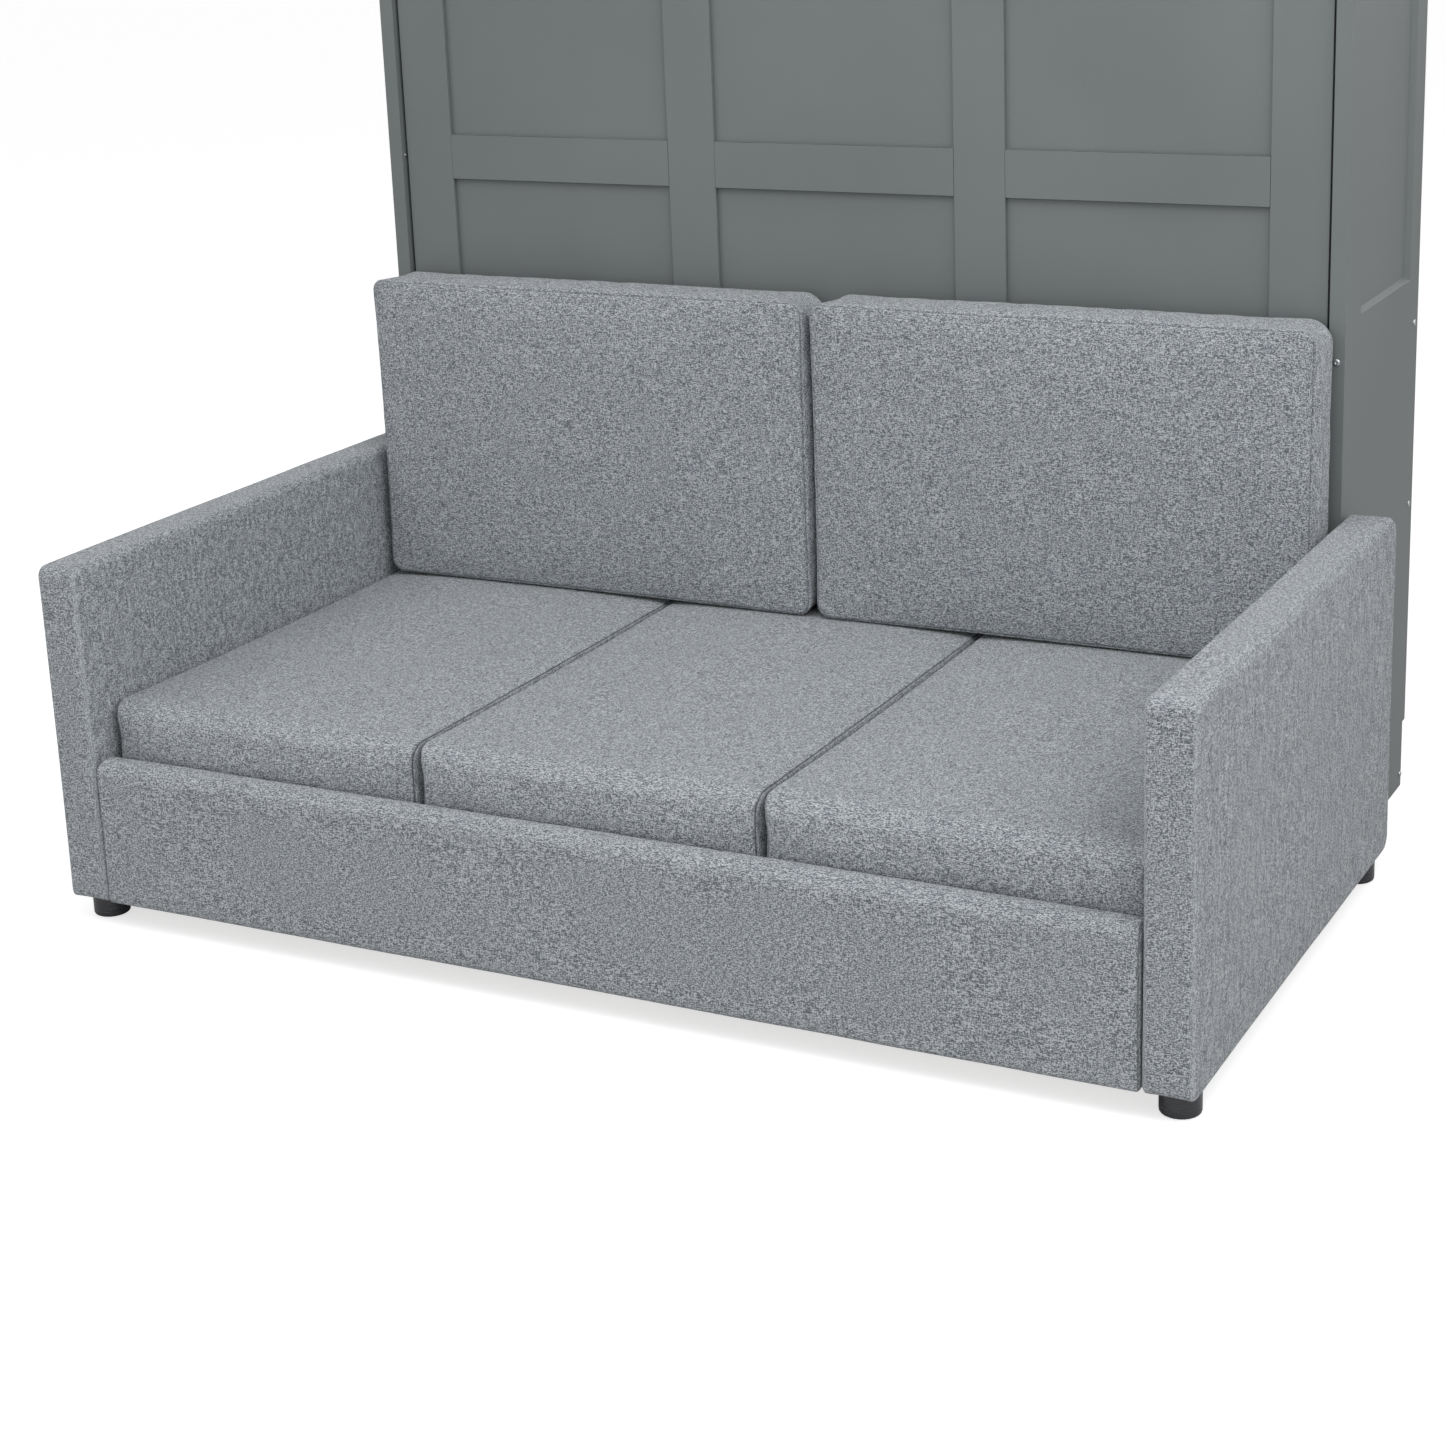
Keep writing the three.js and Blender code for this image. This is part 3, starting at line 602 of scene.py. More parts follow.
def lattice(lines: Sequence[Array]) -> tuple[Array, Array, Array]:
    """Builds the skin of a box from lines along its three axes.

    Args:
        lines: The line positions along each axis.

    Returns:
        The corner points, the four corner numbers of each face, and the number of each grid corner,
        which is -1 inside the box.
    """
    shape = tuple(len(line) for line in lines)
    skin = np.ones(shape, bool)
    skin[1:-1, 1:-1, 1:-1] = False
    number = np.full(shape, -1)
    number[skin] = np.arange(skin.sum())
    points = np.stack(np.meshgrid(*lines, indexing="ij"), -1)[skin]
    quads = []
    for axis in range(3):
        for end in (0, -1):
            side = np.take(number, end, axis=axis)
            loop = (side[:-1, :-1], side[1:, :-1], side[1:, 1:], side[:-1, 1:])
            quads.append(np.stack(loop, -1).reshape(-1, 4))
    return points, np.concatenate(quads), number


def spline_weights(coarse: Array, fine: Array) -> Array:
    """Gives the weights that carry values on coarse lines to fine lines without kinks.

    Args:
        coarse: The positions where values are known.
        fine: The positions where values are wanted.

    Returns:
        One row of weights for each fine position.
    """
    place = np.interp(fine, coarse, np.arange(len(coarse)))
    base = np.minimum(place.astype(int), len(coarse) - 2)
    f = place - base
    wide = np.zeros((len(fine), len(coarse) + 2))
    # The four pieces of a cubic spline, in sixths.
    curves = ((1 - f) ** 3, 3 * f**3 - 6 * f**2 + 4, -3 * f**3 + 3 * f**2 + 3 * f + 1, f**3)
    for shift, curve in enumerate(curves):
        wide[np.arange(len(fine)), base + shift] += curve / 6
    weights = wide[:, 1:-1].copy()
    weights[:, 0] += 2 * wide[:, 0]
    weights[:, 1] -= wide[:, 0]
    weights[:, -1] += 2 * wide[:, -1]
    weights[:, -2] -= wide[:, -1]
    return weights


def eased_limit(values: Array, limit: float, sign: int, width: float = 0.5 * MM) -> Array:
    """Holds values below a limit, or above it for a sign of -1, and slows them a width before it."""
    room = sign * (limit - values) / width
    return limit - sign * width * np.logaddexp(0.0, room)


def bump_at(distance: Array, place: float, width: float) -> Array:
    """Gives a bell curve of height 1 at a place, with the given half width."""
    return np.exp(-(((distance - place) / width) ** 2))


@dataclass(frozen=True)
class ClothRecipe:
    """How the cloth of a loose cushion behaves while it is blown up."""

    quality: int = 6
    mass: float = 0.3
    stretch: float = 18
    shear: float = 6
    bend: float = 0.4
    slack: float = 0.012
    frames: int = 20

    def blow_up(self, piece: bpy.types.Object, held: Array, pressure: float) -> Array:
        """Blows a piece up and removes it.

        Args:
            piece: The piece, whose mesh is the cloth.
            held: Numbers of the points that stay in place.
            pressure: The pressure inside.

        Returns:
            The points of the blown cloth.
        """
        group = piece.vertex_groups.new(name="held")
        group.add([int(i) for i in held], 1.0, "REPLACE")
        cloth = piece.modifiers.new("puff", "CLOTH")
        settings = cloth.settings
        settings.quality, settings.mass = self.quality, self.mass
        settings.tension_stiffness = settings.compression_stiffness = self.stretch
        settings.shear_stiffness, settings.bending_stiffness = self.shear, self.bend
        settings.use_pressure, settings.uniform_pressure_force = True, pressure
        settings.shrink_min = settings.shrink_max = -self.slack
        settings.effector_weights.gravity = 0
        settings.vertex_group_mass = group.name
        cloth.collision_settings.use_collision = False
        cloth.point_cache.frame_start, cloth.point_cache.frame_end = 1, self.frames
        for step in range(1, self.frames + 1):
            bpy.context.scene.frame_set(step)
        seen = piece.evaluated_get(bpy.context.evaluated_depsgraph_get())
        blown = np.empty(len(seen.data.vertices) * 3)
        seen.data.vertices.foreach_get("co", blown)
        bpy.data.objects.remove(piece)
        bpy.context.scene.frame_set(1)
        return blown.reshape(-1, 3)


@dataclass(frozen=True)
class Nap:
    """The small forms that sewing leaves on a padded piece.

    Lengths are distances from the seam, or of the wrinkles, in metres. Drifts set the wrinkles of
    one piece apart from another's, and the ripple is a share of the sway's length and height.
    """

    groove_width: float = 1.2 * MM
    ridge_place: float = 3.4 * MM
    ridge_width: float = 1.6 * MM
    pucker_reach: float = 14 * MM
    pucker_start: float = 2 * MM
    pucker_length: float = 13 * MM
    pucker_everywhere: float = 0.4
    faint: float = 0.02
    ripple_length: float = 0.37
    ripple_height: float = 0.4
    drift: Place = (3.7, 1.3, 2.1)


@dataclass
class PaddedForm:
    """A sewn, padded form that stands for one soft solid of the frame.

    It has two flat panels, joined by a band that runs round between them. Its own axes are along
    and up in the panels, and across from panel to panel. Numbers for faces come as three pairs in
    that order, the low face first: dome is how far each face swells, and shy how far it stays
    inside the solid. The slack is how far the form may pass the solid along each of the room's
    axes. The panels' four corners have radii of their own, and far_corners those of
    the second panel. The four rolls round the edges beside the ends, the bottom and the top.
    """

    name: str
    node: str
    finish: bpy.types.Material
    body: str = "cabinet"
    axes: Axes = (Axis.Y, Axis.Z, Axis.X)
    dome: Faces = ((0.0, 0.0),) * 3
    shy: Faces = ((0.0, 0.0),) * 3
    slack: Faces = (FREE,) * 3
    corners: Four = (8 * MM,) * 4
    far_corners: Four | None = None
    rolls: Four = (8 * MM,) * 4
    roll_blend: float = 12 * MM
    bell: float = 2.6
    side_bell: float = 6.0
    firm: int = 3
    level: bool = False
    level_reach: float = 20 * MM
    pull: float = 2 * MM
    pull_power: int = 4
    seams: SeamPlan = SeamPlan.BOTH_PANELS
    strip_reach: Pair = (1.4, 8 * MM)
    groove: float = 1.4 * MM
    # Strength of the painted shade along the seams; below zero it paints a highlight instead.
    seam_tone: float = 0.7
    seam_width: float = 0.9 * MM
    ridge: float = 0.5 * MM
    pucker: float = 0.18 * MM
    sway: float = 0.6 * MM
    sway_length: float = 0.16
    nap: Nap = Nap()
    step: float = 7 * MM
    close_lines: tuple[float, ...] = (1.1 * MM, 2.4 * MM, 4.2 * MM, 7.5 * MM, 12 * MM)
    puff: float = 0.0
    puff_step: float = 15 * MM
    cloth: ClothRecipe = ClothRecipe()
    cap: Pair = (3 * MM, 6 * MM)
    fill: float = 0.9
    seed: float = 0.0

    def __post_init__(self) -> None:
        """Measures the solid that the form stands for."""
        self.box = [np.array(corner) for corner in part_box(self.node)]
        low, high = (corner[self.order] for corner in self.box)
        start = low + [dome[0] + shy[0] for dome, shy in zip(self.dome, self.shy)]
        stop = high - [dome[1] + shy[1] for dome, shy in zip(self.dome, self.shy)]
        self.centre, self.half = (start + stop) / 2, (stop - start) / 2

    @property
    def order(self) -> list[int]:
        """The room's axes in the order of the form's own."""
        return [axis.value for axis in self.axes]

    def roll_at(self, points: Array) -> Array:
        """Gives the radius of the rounded edge near each lattice point."""
        sides = [self.half[s] + sign * points[:, s] for s in (0, 1) for sign in (1, -1)]
        nearness = np.stack([1 / (gap + self.roll_blend) ** 3 for gap in sides], -1)
        return nearness @ np.array(self.rolls) / nearness.sum(1)

    def radius_at(self, signs: Array, share: Array) -> Array:
        """Gives the radius of the panel's corner that each lattice point is nearest to."""
        quarter = (signs[:, 0] > 0) + 2 * (signs[:, 1] > 0)
        radius = np.array(self.corners)[quarter]
        if self.far_corners:
            radius = radius + (np.array(self.far_corners)[quarter] - radius) * (1 + share[:, 2]) / 2
        return radius

    def swell(self, made: Array, share: Array, signs: Array, gaps: Array) -> None:
        """Crowns each face, in place: most in its middle, and nothing at its edges.

        Args:
            made: The shaped points, which it changes.
            share: Lattice points as shares of the half sizes.
            signs: The side of the centre that each point is on.
            gaps: The points' distances from the box's faces.
        """
        bells, firm = 1 - np.abs(share) ** self.bell, 1 - np.abs(share) ** self.side_bell
        if self.level:
            flat = np.maximum(bells[:, 0], np.minimum(1, gaps[:, 0] / self.level_reach))
            bells[:, 0] = np.where(share[:, 0] > 0, flat, bells[:, 0])
        for axis, pair in enumerate(self.dome):
            one, two = (other for other in range(3) if other != axis)
            kind = firm if axis == self.firm else bells
            rise = np.where(signs[:, axis] < 0, *pair) * (kind[:, one] * kind[:, two])
            made[:, axis] += signs[:, axis] * rise * (gaps[:, axis] < TOUCH)

    def draw_in(self, made: Array, share: Array, signs: Array) -> None:
        """Draws the edges in between the corners, in place."""
        power = share**self.pull_power
        for axis in range(3):
            one, two = (other for other in range(3) if other != axis)
            bow = power[:, one] * (1 - share[:, two] ** 2) + power[:, two] * (1 - share[:, one] ** 2)
            made[:, axis] -= self.pull * signs[:, axis] * power[:, axis] * bow

    def shape(self, points: Array) -> tuple[Array, Array]:
        """Bends the lattice box into the sewn form.

        Args:
            points: Lattice points on the box's skin, from its centre.

        Returns:
            The shaped points in the form's own axes, and each point's distance from the seams.
        """
        signs = np.where(points < 0, -1.0, 1.0)
        gaps = self.half - np.abs(points)
        share = points / self.half
        panel = gaps[:, 2] < TOUCH
        # The seam lies halfway round the edge's roll. The band turns in towards it.
        roll = self.roll_at(points)
        inset = roll * (1 - math.sqrt(0.5))
        turn = math.pi / 4 * (1 + np.clip(gaps[:, 2] / roll, 0, 1))
        drawn = np.where(panel, 1.0, roll * (1 - np.sin(turn)) / inset)
        flat = []
        for axis in (0, 1):
            near = np.clip(gaps[:, axis] / roll, 0, 1)
            bent = roll * (1 - np.sin(math.pi / 4 * (1 - near))) - gaps[:, axis]
            flat.append(np.abs(points[:, axis]) - np.where(near < 1, bent, 0) * drawn)
        # The square corners of the lattice become quarter circles.
        radius = self.radius_at(signs, share)
        core = [self.half[axis] - inset * drawn - radius for axis in (0, 1)]
        u, v = (np.clip((flat[axis] - core[axis]) / radius, 0, 1) for axis in (0, 1))
        both = (u > 0) & (v > 0)
        flat[0] = np.where(both, core[0] + radius * u * np.sqrt(1 - v * v / 2), flat[0])
        flat[1] = np.where(both, core[1] + radius * v * np.sqrt(1 - u * u / 2), flat[1])
        over = [flat[axis] - core[axis] for axis in (0, 1)]
        outside = np.hypot(np.maximum(over[0], 0), np.maximum(over[1], 0))
        rim = radius - outside - np.minimum(np.maximum(*over), 0)
        # The panel dips towards the seam, and the band rises to it.
        reach = np.minimum(rim + inset, roll)
        dip = roll - np.sqrt(np.maximum(roll**2 - (roll - reach) ** 2, 0))
        wall = np.where(gaps[:, 2] < roll, roll * (1 - np.cos(turn)), gaps[:, 2])
        depth = np.where(panel, dip, wall)
        away = np.where(panel, np.hypot(rim, inset - depth), np.hypot(inset * (1 - drawn), depth - inset))
        made = np.stack((flat[0], flat[1], self.half[2] - depth), -1) * signs
        self.swell(made, share, signs, gaps)
        self.draw_in(made, share, signs)
        return made, away

    def held_points(self, points: Array) -> Array:
        """Gives the numbers of the coarse points at the seams and underneath, which the cloth keeps."""
        gaps = self.half - np.abs(points)
        rim = (gaps[:, 2] < NEAR) & (gaps[:, :2].min(1) < NEAR)
        return np.nonzero(rim | (points[:, 1] < NEAR - self.half[1]))[0]

    def settle(self, lines: Sequence[Array]) -> Array:
        """Blows the coarse skin up as cloth and gives how far each fine point moves.

        Args:
            lines: The fine lattice's lines.

        Returns:
            The movement of each fine point in the form's own axes.
        """
        coarse = [stations(half, self.puff_step, (self.puff_step / 2,)) for half in self.half]
        points, faces, number = lattice(coarse)
        start, _ = self.shape(points)
        piece = mesh_piece(f"{self.name}_trial", self.to_room(start), faces, self.finish)
        blown = self.cloth.blow_up(piece, self.held_points(points), self.puff)
        moved = blown[:, self.order] - self.centre - start
        length = np.linalg.norm(moved, axis=1, keepdims=True)
        low, high = self.cap
        slowed = low + (high - low) * np.tanh((length - low) / (high - low))
        limited = np.where(length > low, slowed, length)
        moved *= limited / np.maximum(length, TOUCH)
        far, kept = length.max() / MM, limited.max() / MM
        log.info("%s: cloth moved %.1f mm at most, kept to %.1f mm", self.name, far, kept)
        fine_number = lattice(lines)[2]
        result = np.zeros((fine_number.max() + 1, 3))
        weights = [spline_weights(c, f) for c, f in zip(coarse, lines)]
        for axis in range(3):
            one, two = (other for other in range(3) if other != axis)
            for end in (0, -1):
                known = moved[np.take(number, end, axis=axis)]
                wanted = np.einsum("ij,jkc,lk->ilc", weights[one], known, weights[two])
                result[np.take(fine_number, end, axis=axis)] = wanted
        return result

    def seam_share(self, share: Array) -> Array:
        """Says how strongly the seam shows beside each lattice point, from 0 to 1.

        Args:
            share: Lattice points as shares of the half sizes.

        Returns:
            The strength for each point.
        """
        if self.seams is SeamPlan.BOTH_PANELS:
            return np.ones(len(share))
        front = self.half[0] * (1 + share[:, 0])
        start, length = self.strip_reach
        return np.clip(start - front / length, 0, 1)

    def to_room(self, points: Array) -> Array:
        """Turns points in the form's own axes into the room's."""
        room = np.empty_like(points)
        room[:, self.order] = points + self.centre
        return room

    def limits(self, points: Array) -> Array:
        """Keeps the form clear of what touches it."""
        low, high = self.box
        below, above = np.array(self.slack).T
        return np.clip(points, low - below, high + above)

    def small_lift(self, room: Array, away: Array, shown: Array) -> Array:
        """Gives how far each point rises for the seam, the puckers beside it and the long waves.

        Args:
            room: The points in the room.
            away: Their distances from the seams.
            shown: How strongly the seam shows beside them.

        Returns:
            The rise of each point in metres.
        """
        nap = self.nap
        ridge = self.ridge * bump_at(away, nap.ridge_place, nap.ridge_width)
        lift = shown * (ridge - self.groove * bump_at(away, 0.0, nap.groove_width))
        fade = np.exp(-away / nap.pucker_reach) * (1 - np.exp(-away / nap.pucker_start))
        pucker = self.pucker * fade * (nap.pucker_everywhere + (1 - nap.pucker_everywhere) * shown)
        drift = Vector([self.seed * factor for factor in nap.drift])
        ripple = self.sway_length * nap.ripple_length
        for index, spot in enumerate(room):
            place = Vector(spot) + drift
            wave = noise.noise(place / self.sway_length) + nap.ripple_height * noise.noise(place / ripple)
            small = noise.noise(place / nap.pucker_length) if fade[index] > nap.faint else 0.0
            lift[index] += self.sway * wave + pucker[index] * small
        return lift

    def build(self) -> bpy.types.Object:
        """Sews, fills and places the form.

        Returns:
            The finished piece, riding on its body.
        """
        lines = [stations(half, self.step, self.close_lines) for half in self.half]
        points, faces, _ = lattice(lines)
        made, away = self.shape(points)
        if self.puff:
            made = made + self.settle(lines)
        room = self.limits(self.to_room(made))
        piece = mesh_piece(self.name, room, faces, self.finish)
        mesh = piece.data
        normals = np.empty(len(points) * 3)
        mesh.vertices.foreach_get("normal", normals)
        shown = self.seam_share(points / self.half)
        lift = self.small_lift(room, away, shown)
        room = self.limits(room + normals.reshape(-1, 3) * lift[:, None])
        mesh.vertices.foreach_set("co", room.ravel())
        # Paints shade along the seams into an attribute that the cloth reads; a negative strength paints a
        # highlight.
        line = mesh.attributes.new("seam", "FLOAT", "POINT")
        tone = self.seam_tone * shown * bump_at(away, 0.0, self.seam_width)
        line.data.foreach_set("value", tone.astype(np.float32))
        mesh.update()
        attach(piece, self.body)
        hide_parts(self.node)
        log.info("sewed %s with %d faces", self.name, len(faces))
        return piece


@dataclass
class SeatCushion(PaddedForm):
    """A seat cushion: one cloth wraps over its front edge, and a panel is sewn into each side."""

    dome: Faces = ((3 * MM, 0.0), (0.0, 6 * MM), (1 * MM, 1 * MM))
    shy: Faces = ((1 * MM, 0.0), (0.0, 1.5 * MM), (0.0, 0.0))
    slack: Faces = ((0.2 * MM, 0.2 * MM), (math.inf, 0.0), (0.0, math.inf))
    corners: Four = (14 * MM, 10 * MM, 27 * MM, 14 * MM)
    rolls: Four = (10 * MM, 5 * MM, 8 * MM, 2.5 * MM)
    firm: int = 2
    level: bool = True
    groove: float = 0.5 * MM
    # Full painted shade along the seat's seams.
    seam_tone: float = 1.0
    pull: float = 3 * MM
    puff: float = 4.0
    cap: Pair = (0.7 * MM, 2 * MM)
    rest_top: float = 0.3538

    def limits(self, points: Array) -> Array:
        """Keeps the cushion's top under the back cushions too."""
        top = eased_limit(points[:, 2], self.rest_top, 1)
        return super().limits(np.column_stack((points[:, :2], top)))


@dataclass
class BackCushion(PaddedForm):
    """A back cushion: a front and a rear panel, joined by a boxing band."""

    axes: Axes = (Axis.X, Axis.Z, Axis.Y)
    dome: Faces = ((3 * MM, 3 * MM), (0.0, 3 * MM), (7 * MM, 3 * MM))
    shy: Faces = ((0.5 * MM, 0.5 * MM), (0.0, 1 * MM), (2.5 * MM, 0.5 * MM))
    slack: Faces = ((1 * MM, 1 * MM), (math.inf, 0.0), (0.0, math.inf))
    far_corners: Four | None = (24 * MM, 24 * MM, 36 * MM, 36 * MM)
    rolls: Four = (7 * MM, 7 * MM, 9 * MM, 7 * MM)
    firm: int = 0
    groove: float = 1.0 * MM
    # Half-strength painted shade along the back cushion's seams.
    seam_tone: float = 0.5
    sway: float = 0.3 * MM
    pull: float = 3 * MM
    puff: float = 4.0
    cap: Pair = (0.8 * MM, 2.2 * MM)

    def limits(self, points: Array) -> Array:
        """Keeps the cushion's front off the seat too, when it is tipped."""
        front = eased_limit(points[:, 1], self.box[0][1], -1)
        return super().limits(np.column_stack((points[:, 0], front, points[:, 2])))


@dataclass
class Arm(PaddedForm):
    """A sofa arm: thin padding on a board, with a strip sewn in down its front."""

    corners: Four = (10 * MM, 24 * MM, 15 * MM, 26 * MM)
    rolls: Four = (10 * MM, 9 * MM, 7 * MM, 12 * MM)
    bell: float = 6.0
    pull: float = 0.8 * MM
    seams: SeamPlan = SeamPlan.FRONT_STRIP
    groove: float = 0.3 * MM
    ridge: float = 0.4 * MM
    # Below zero: a painted highlight along the front strip's fold instead of seam shade.
    seam_tone: float = -0.22
    seam_width: float = 4 * MM
    sway: float = 0.5 * MM
    fill: float = 1.0


@dataclass
class FrontRail(PaddedForm):
    """The sofa's front rail: cloth over a padded board, with a rounded upper edge."""

    dome: Faces = ((1 * MM, 0.0), (0.0, 1 * MM), (0.0, 0.0))
    slack: Faces = ((0.0, 0.0), (math.inf, 0.0), FREE)
    corners: Four = (8 * MM, 6 * MM, 22 * MM, 14 * MM)
    rolls: Four = (5 * MM, 5 * MM, 5 * MM, 9 * MM)
    bell: float = 6.0
    pull: float = 0.8 * MM
    groove: float = 0.3 * MM
    ridge: float = 0.0
    # Painted shade along the rail's seams.
    seam_tone: float = 0.6
    seam_width: float = 1.3 * MM
    sway: float = 0.5 * MM
    fill: float = 1.0
    seed: float = 12.0


@dataclass
class Sofa:
    """The sofa: upholstery, deck, bearers and feet. Pairs of forms are left and right."""

    finishes: Finishes
    board_edge: float = 1.5 * MM
    foot_edge: float = 0.6 * MM
    arm_domes: tuple[Faces, Faces] = (
        ((1 * MM, 0.0), (0.0, 1.5 * MM), (2.5 * MM, 1.5 * MM)),
        ((1 * MM, 0.0), (0.0, 1.5 * MM), (1.5 * MM, 2.5 * MM)),
    )
    arm_inner: tuple[Pair, Pair] = ((math.inf, 0.0), (0.0, math.inf))
    arm_seed: float = 9.0
    back_corners: tuple[Four, Four] = (
        (22 * MM, 22 * MM, 17 * MM, 22 * MM),
        (22 * MM, 22 * MM, 16 * MM, 20 * MM),
    )
    back_seed: float = 5.0

    def base(self) -> None:
        """Dresses the wooden base and the feet."""
        for node in ("sofa_front_bearer", "sofa_rear_bearer", "sofa_deck"):
            ease(node, self.finishes.pine[Axis.X], self.board_edge)
        ease("sofa_centre_bearer", self.finishes.pine[Axis.Y], self.board_edge)
        for place in ("front_left", "front_right", "rear_left", "rear_right", "centre"):
            ease(f"sofa_foot_{place}", self.finishes.plastic, self.foot_edge)

    def arms(self) -> None:
        """Covers the two arms, which keep their inner sides off the rail and the cabinet."""
        for side, dome, inner in zip(Side, self.arm_domes, self.arm_inner):
            arm = Arm(f"arm_pad_{side.word}", f"sofa_arm_{side.word}", self.finishes.weave, dome=dome)
            arm.slack, arm.seed = (inner, FREE, FREE), self.arm_seed + side.value
            arm.build()

    def seats(self) -> None:
        """Sews the three seat cushions."""
        for number, place in enumerate(("left", "centre", "right"), 1):
            seat = SeatCushion(f"seat_pad_{place}", f"seat_cushion_{place}", self.finishes.weave)
            seat.seed = float(number)
            seat.build()

    def backs(self) -> None:
        """Sews the two back cushions, which tip on bodies of their own."""
        for side, corners in zip(Side, self.back_corners):
            node = f"back_cushion_{side.word}"
            back = BackCushion(f"back_pad_{side.word}", node, self.finishes.weave, body=node, corners=corners)
            back.seed = self.back_seed + side.value
            back.build()

    def build(self) -> None:
        """Builds the sofa from the floor up."""
        self.base()
        self.arms()
        FrontRail("rail_pad", "sofa_front_rail", self.finishes.weave).build()
        self.seats()
        self.backs()


@dataclass
class Carcass:
    """The cabinet round the bed."""

    finishes: Finishes
    edge: float = 1.2 * MM
    sheet_edge: float = 0.4 * MM

    def dress(self) -> None:
        """Paints the cabinet's boards."""
        for node in (
            "side_panel_left",
            "side_panel_right",
            "top_panel",
            "back_rail_upper",
            "back_rail_middle",
            "base_rail_front",
            "base_rail_rear",
        ):
            ease(node, self.finishes.paint, self.edge)
        ease("back_panel", self.finishes.board, self.sheet_edge)


@dataclass
class Door:
    """The panelled door, which is the bed's underside."""

    finishes: Finishes
    edge: float = 1.0 * MM

    def dress(self) -> None:
        """Paints the door's panel, stiles and rails."""
        rails = ["door_panel", "door_rail_bottom", "door_rail_top"]
        rails += [f"door_rail_mid_{place}" for place in ("left", "centre", "right")]
        rails += [f"door_stile_{place}_{side.word}" for place in ("outer", "inner") for side in Side]
        for node in rails:
            ease(node, self.finishes.paint, self.edge)


@dataclass
class BedFrame:
    """The bed's box, ledgers and slats."""

    finishes: Finishes
    edge: float = 1.2 * MM
    slat_edge: float = 2 * MM

    def dress(self) -> None:
        """Finishes the bed's wooden parts."""
        for node in ("bed_side_left", "bed_side_right", "bed_head_board", "bed_foot_board"):
            ease(node, self.finishes.paint, self.edge)
        for node in ("slat_ledger_left", "slat_ledger_right", "bed_centre_rail"):
            ease(node, self.finishes.pine[Axis.Z], self.edge)
        ease("slat_set", self.finishes.pine[Axis.X], self.slat_edge)


@dataclass
class FoldingGear:
    """Pivots, gas springs, stops and legs, on both sides."""

    finishes: Finishes
    plate_edge: float = 0.4 * MM
    rod_edge: float = 0.3 * MM
    cylinder_edge: float = 0.5 * MM
    leg_edge: float = 1.0 * MM
    stop_edge: float = 2.0 * MM

    def dress(self) -> None:
        """Finishes the metal and plastic fittings."""
        for side in Side:
            for stem in ("pivot_plate", "bed_pivot_plate", "spring_bracket", "leg_bracket"):
                ease(f"{stem}_{side.word}", self.finishes.zinc, self.plate_edge)
            ease(f"gas_rod_{side.word}", self.finishes.zinc, self.rod_edge)
            ease(f"gas_cylinder_{side.word}", self.finishes.black, self.cylinder_edge)
            ease(f"leg_{side.word}", self.finishes.black, self.leg_edge)
            ease(f"bed_stop_{side.word}", self.finishes.plastic, self.stop_edge)


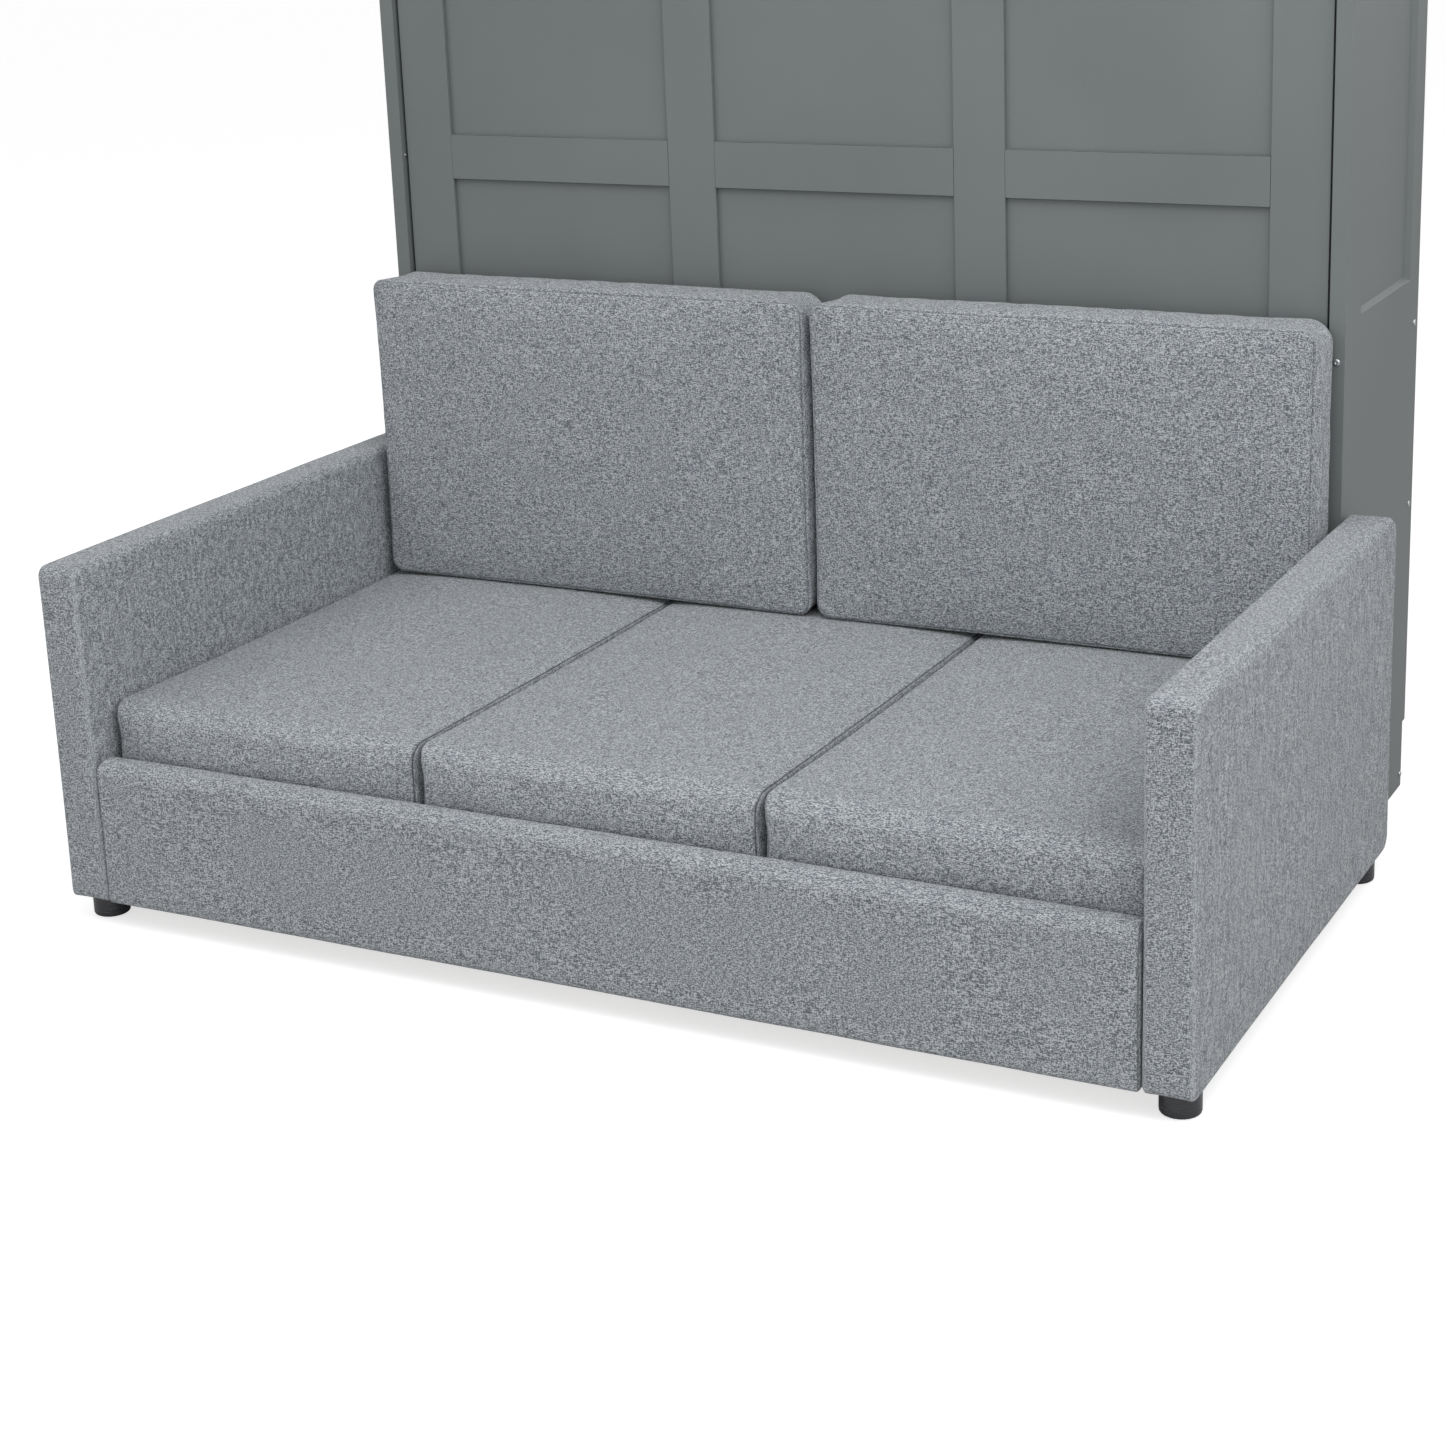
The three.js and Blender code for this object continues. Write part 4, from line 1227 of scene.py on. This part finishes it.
@dataclass
class Fixings:
    """The screw heads that show on the cabinet's side panels.

    Profiles run from the board outwards and then into the cross recess. Each step is a share of the
    radius and a share of the height.
    """

    finishes: Finishes
    radius: float = 5.3 * MM
    height: float = 2.3 * MM
    segments: int = 32
    sunk: float = 0.1 * MM
    dome: tuple[Pair, ...] = ((1.0, 0.28), (0.94, 0.58), (0.78, 0.85), (0.6, 0.97))
    recess: tuple[Pair, ...] = ((1.0, 1.0), (0.85, 0.8), (0.5, 0.45))
    recess_floor: float = 0.4
    star: Pair = (0.15, 0.33)
    star_power: int = 6
    side_heights: tuple[float, ...] = (0.023, 0.487, 0.784)
    side_depth: float = 0.643
    front_height: float = 0.8
    front_inset: float = 12.5 * MM
    gap_height: float = 1.06
    gap_depth: float = 10.0 * MM
    gap_size: float = 0.6

    def rings(self) -> list[Array]:
        """Turns the outline of one head into rings of points.

        Returns:
            The rings, from its foot to the bottom of its recess.
        """
        angles = np.arange(self.segments) * math.tau / self.segments
        full = np.full(self.segments, self.radius)
        narrow, wide = self.star
        star = self.radius * (narrow + wide * np.abs(np.cos(2 * angles)) ** self.star_power)
        steps = [(full, -self.sunk)]
        steps += [(full * share, rise * self.height) for share, rise in self.dome]
        steps += [(star * share, rise * self.height) for share, rise in self.recess]
        x, y = np.cos(angles), np.sin(angles)
        return [np.stack((r * x, r * y, np.full(self.segments, z)), -1) for r, z in steps]

    def head(self, name: str, place: Vector, out: Vector, size: float = 1.0) -> bpy.types.Object:
        """Turns one pan head with a cross recess.

        Args:
            name: The screw's name.
            place: The middle of its base, on the board.
            out: The direction in which it stands off the board.
            size: Its size as a share of the usual one.

        Returns:
            The screw head, riding on the cabinet.
        """
        rings, count = self.rings(), self.segments
        ends = [[0.0, 0.0, -self.sunk], [0.0, 0.0, self.recess_floor * self.height]]
        turn = out.to_track_quat("Z", "Y").to_matrix()
        points = np.concatenate([*rings, ends]) * size @ np.array(turn).T + np.array(place)
        pairs = [(i, (i + 1) % count) for i in range(count)]
        foot = len(rings) * count
        last = foot - count
        starts = range(0, last, count)
        faces = [(k + i, k + j, k + count + j, k + count + i) for k in starts for i, j in pairs]
        for i, j in pairs:
            faces += [(foot, j, i), (foot + 1, last + i, last + j)]
        piece = mesh_piece(name, points, faces, self.finishes.zinc)
        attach(piece, "cabinet")
        log.info("fitted %s", name)
        return piece

    def build(self) -> None:
        """Fits the screws of both side panels."""
        for side in Side:
            low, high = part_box(f"side_panel_{side.word}")
            outer, inner = (high.x, low.x) if side is Side.RIGHT else (low.x, high.x)
            out = Vector((side.value, 0.0, 0.0))
            for number, height in enumerate(self.side_heights, 1):
                self.head(f"side_screw_{side.word}_{number}", Vector((outer, self.side_depth, height)), out)
            edge = Vector((inner + side.value * self.front_inset, low.y, self.front_height))
            self.head(f"edge_screw_{side.word}", edge, Vector((0.0, -1.0, 0.0)))
            spot = Vector((inner, low.y + self.gap_depth, self.gap_height))
            self.head(f"gap_screw_{side.word}", spot, -out, self.gap_size)


@dataclass(frozen=True)
class Lamp:
    """One square soft lamp, with its side in metres and its power in watts."""

    name: str
    place: Place
    size: float
    power: float

    def hang(self, aim: Place) -> None:
        """Hangs the lamp.

        Args:
            aim: The point that it faces.
        """
        data = bpy.data.lights.new(self.name, "AREA")
        data.size, data.energy = self.size, self.power
        lamp = bpy.data.objects.new(self.name, data)
        bpy.context.scene.collection.objects.link(lamp)
        lamp.location = self.place
        lamp.rotation_mode = "QUATERNION"
        lamp.rotation_quaternion = (Vector(aim) - Vector(self.place)).to_track_quat("-Z", "Y")
        lamp.visible_camera = False


@dataclass
class Studio:
    """A pale floor, soft lamps and the camera.

    The camera's image, focal length and horizon are in the photograph's pixels, and its angles in
    radians.
    """

    image: float = 1445.0
    focal: float = 2783.30
    horizon: float = 592.5
    yaw: float = 0.487772
    pitch: float = 0.284196
    roll: float = -0.039419
    eye: Place = (1.87883, -3.71926, 1.65290)
    sensor: float = 36.0
    sight: float = 200.0
    aim: Place = (0.0, 0.0, 0.7)
    lamps: tuple[Lamp, ...] = (
        Lamp("key", (1.9, -1.9, 3.3), 1.4, 33.0),
        Lamp("right", (3.6, -0.6, 3.4), 2.4, 54.0),
        Lamp("overhead", (0.0, -1.2, 5.0), 2.4, 39.0),
        Lamp("left", (-2.6, -2.8, 3.6), 2.4, 29.0),
        Lamp("low", (0.6, -4.4, 1.3), 2.4, 25.0),
    )
    room_light: float = 0.59
    floor_reach: float = 30.0
    floor_grey: float = 0.55
    floor_glow: float = 0.66

    def camera(self) -> None:
        """Places the camera at the photograph's viewpoint."""
        data = bpy.data.cameras.new("camera")
        data.sensor_width = self.sensor
        data.lens = self.focal / self.image * self.sensor
        data.shift_y = (self.horizon - self.image / 2) / self.image
        data.clip_end = self.sight
        eye = bpy.data.objects.new("camera", data)
        bpy.context.scene.collection.objects.link(eye)
        cy, sy, cp, sp = math.cos(self.yaw), math.sin(self.yaw), math.cos(self.pitch), math.sin(self.pitch)
        ahead = Vector((-sy * cp, cy * cp, -sp))
        right = Vector((cy, sy, 0.0))
        up = right.cross(ahead)
        right_turned = right * math.cos(self.roll) + up * math.sin(self.roll)
        up_turned = up * math.cos(self.roll) - right * math.sin(self.roll)
        turn = Matrix((right_turned, up_turned, -ahead)).transposed()
        eye.matrix_world = Matrix.Translation(self.eye) @ turn.to_4x4()
        bpy.context.scene.camera = eye

    def world(self) -> None:
        """Fills the room with even light and shows it white to the camera and in reflections."""
        world = bpy.data.worlds.new("room")
        bpy.context.scene.world = world
        world.use_nodes = True
        nodes = Nodes(world.node_tree)
        shade = next(n for n in nodes.tree.nodes if n.type == "BACKGROUND")
        nodes.fill(shade, {"Color": (1, 1, 1, 1)})
        rays = nodes.add("ShaderNodeLightPath").outputs
        total = self.room_light
        for name in ("Is Camera Ray", "Is Glossy Ray", "Is Transmission Ray"):
            total = nodes.maths("ADD", rays[name], total, clamp=True)
        nodes.link(total, shade.inputs["Strength"])

    def floor(self) -> None:
        """Lays a pale floor that looks white to the camera and keeps soft shadows."""
        marks = (-self.floor_reach, 0.0, self.floor_reach)
        corners = np.array([(x, y, 0.0) for x in marks for y in marks])
        faces = np.array([(i, i + 3, i + 4, i + 1) for i in (0, 1, 3, 4)])
        material = bpy.data.materials.new("pale_floor")
        material.use_nodes = True
        nodes = Nodes(material.node_tree)
        nodes.tree.nodes.clear()
        out = nodes.add("ShaderNodeOutputMaterial")
        matt = nodes.fill(nodes.add("ShaderNodeBsdfDiffuse"), {"Color": (*[self.floor_grey] * 3, 1)})
        seen = nodes.add("ShaderNodeLightPath").outputs["Is Camera Ray"]
        light = nodes.add("ShaderNodeEmission")
        both = nodes.add("ShaderNodeAddShader")
        nodes.link(nodes.maths("MULTIPLY", seen, self.floor_glow), light.inputs["Strength"])
        nodes.link(matt.outputs["BSDF"], both.inputs[0])
        nodes.link(light.outputs["Emission"], both.inputs[1])
        nodes.link(both.outputs["Shader"], out.inputs["Surface"])
        mesh_piece("floor", corners, faces, material)

    def build(self) -> None:
        """Sets up the floor, the light and the camera."""
        bpy.context.scene.view_settings.view_transform = "Standard"
        self.world()
        self.floor()
        for lamp in self.lamps:
            lamp.hang(self.aim)
        self.camera()


def clear_room() -> None:
    """Removes whatever was in the room before the frame came in."""
    kept = {*frame["nodes"].values(), *frame["bodies"].values()}
    for thing in list(bpy.data.objects):
        if thing not in kept:
            bpy.data.objects.remove(thing)


def main() -> None:
    """Builds the furniture's looks and the studio, in order."""
    logging.basicConfig(level=logging.INFO, format="%(message)s")
    clear_room()
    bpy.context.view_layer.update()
    Studio().build()
    finishes = Finishes()
    Carcass(finishes).dress()
    Door(finishes).dress()
    BedFrame(finishes).dress()
    FoldingGear(finishes).dress()
    Fixings(finishes).build()
    Sofa(finishes).build()


if __name__ == "__main__":
    main()
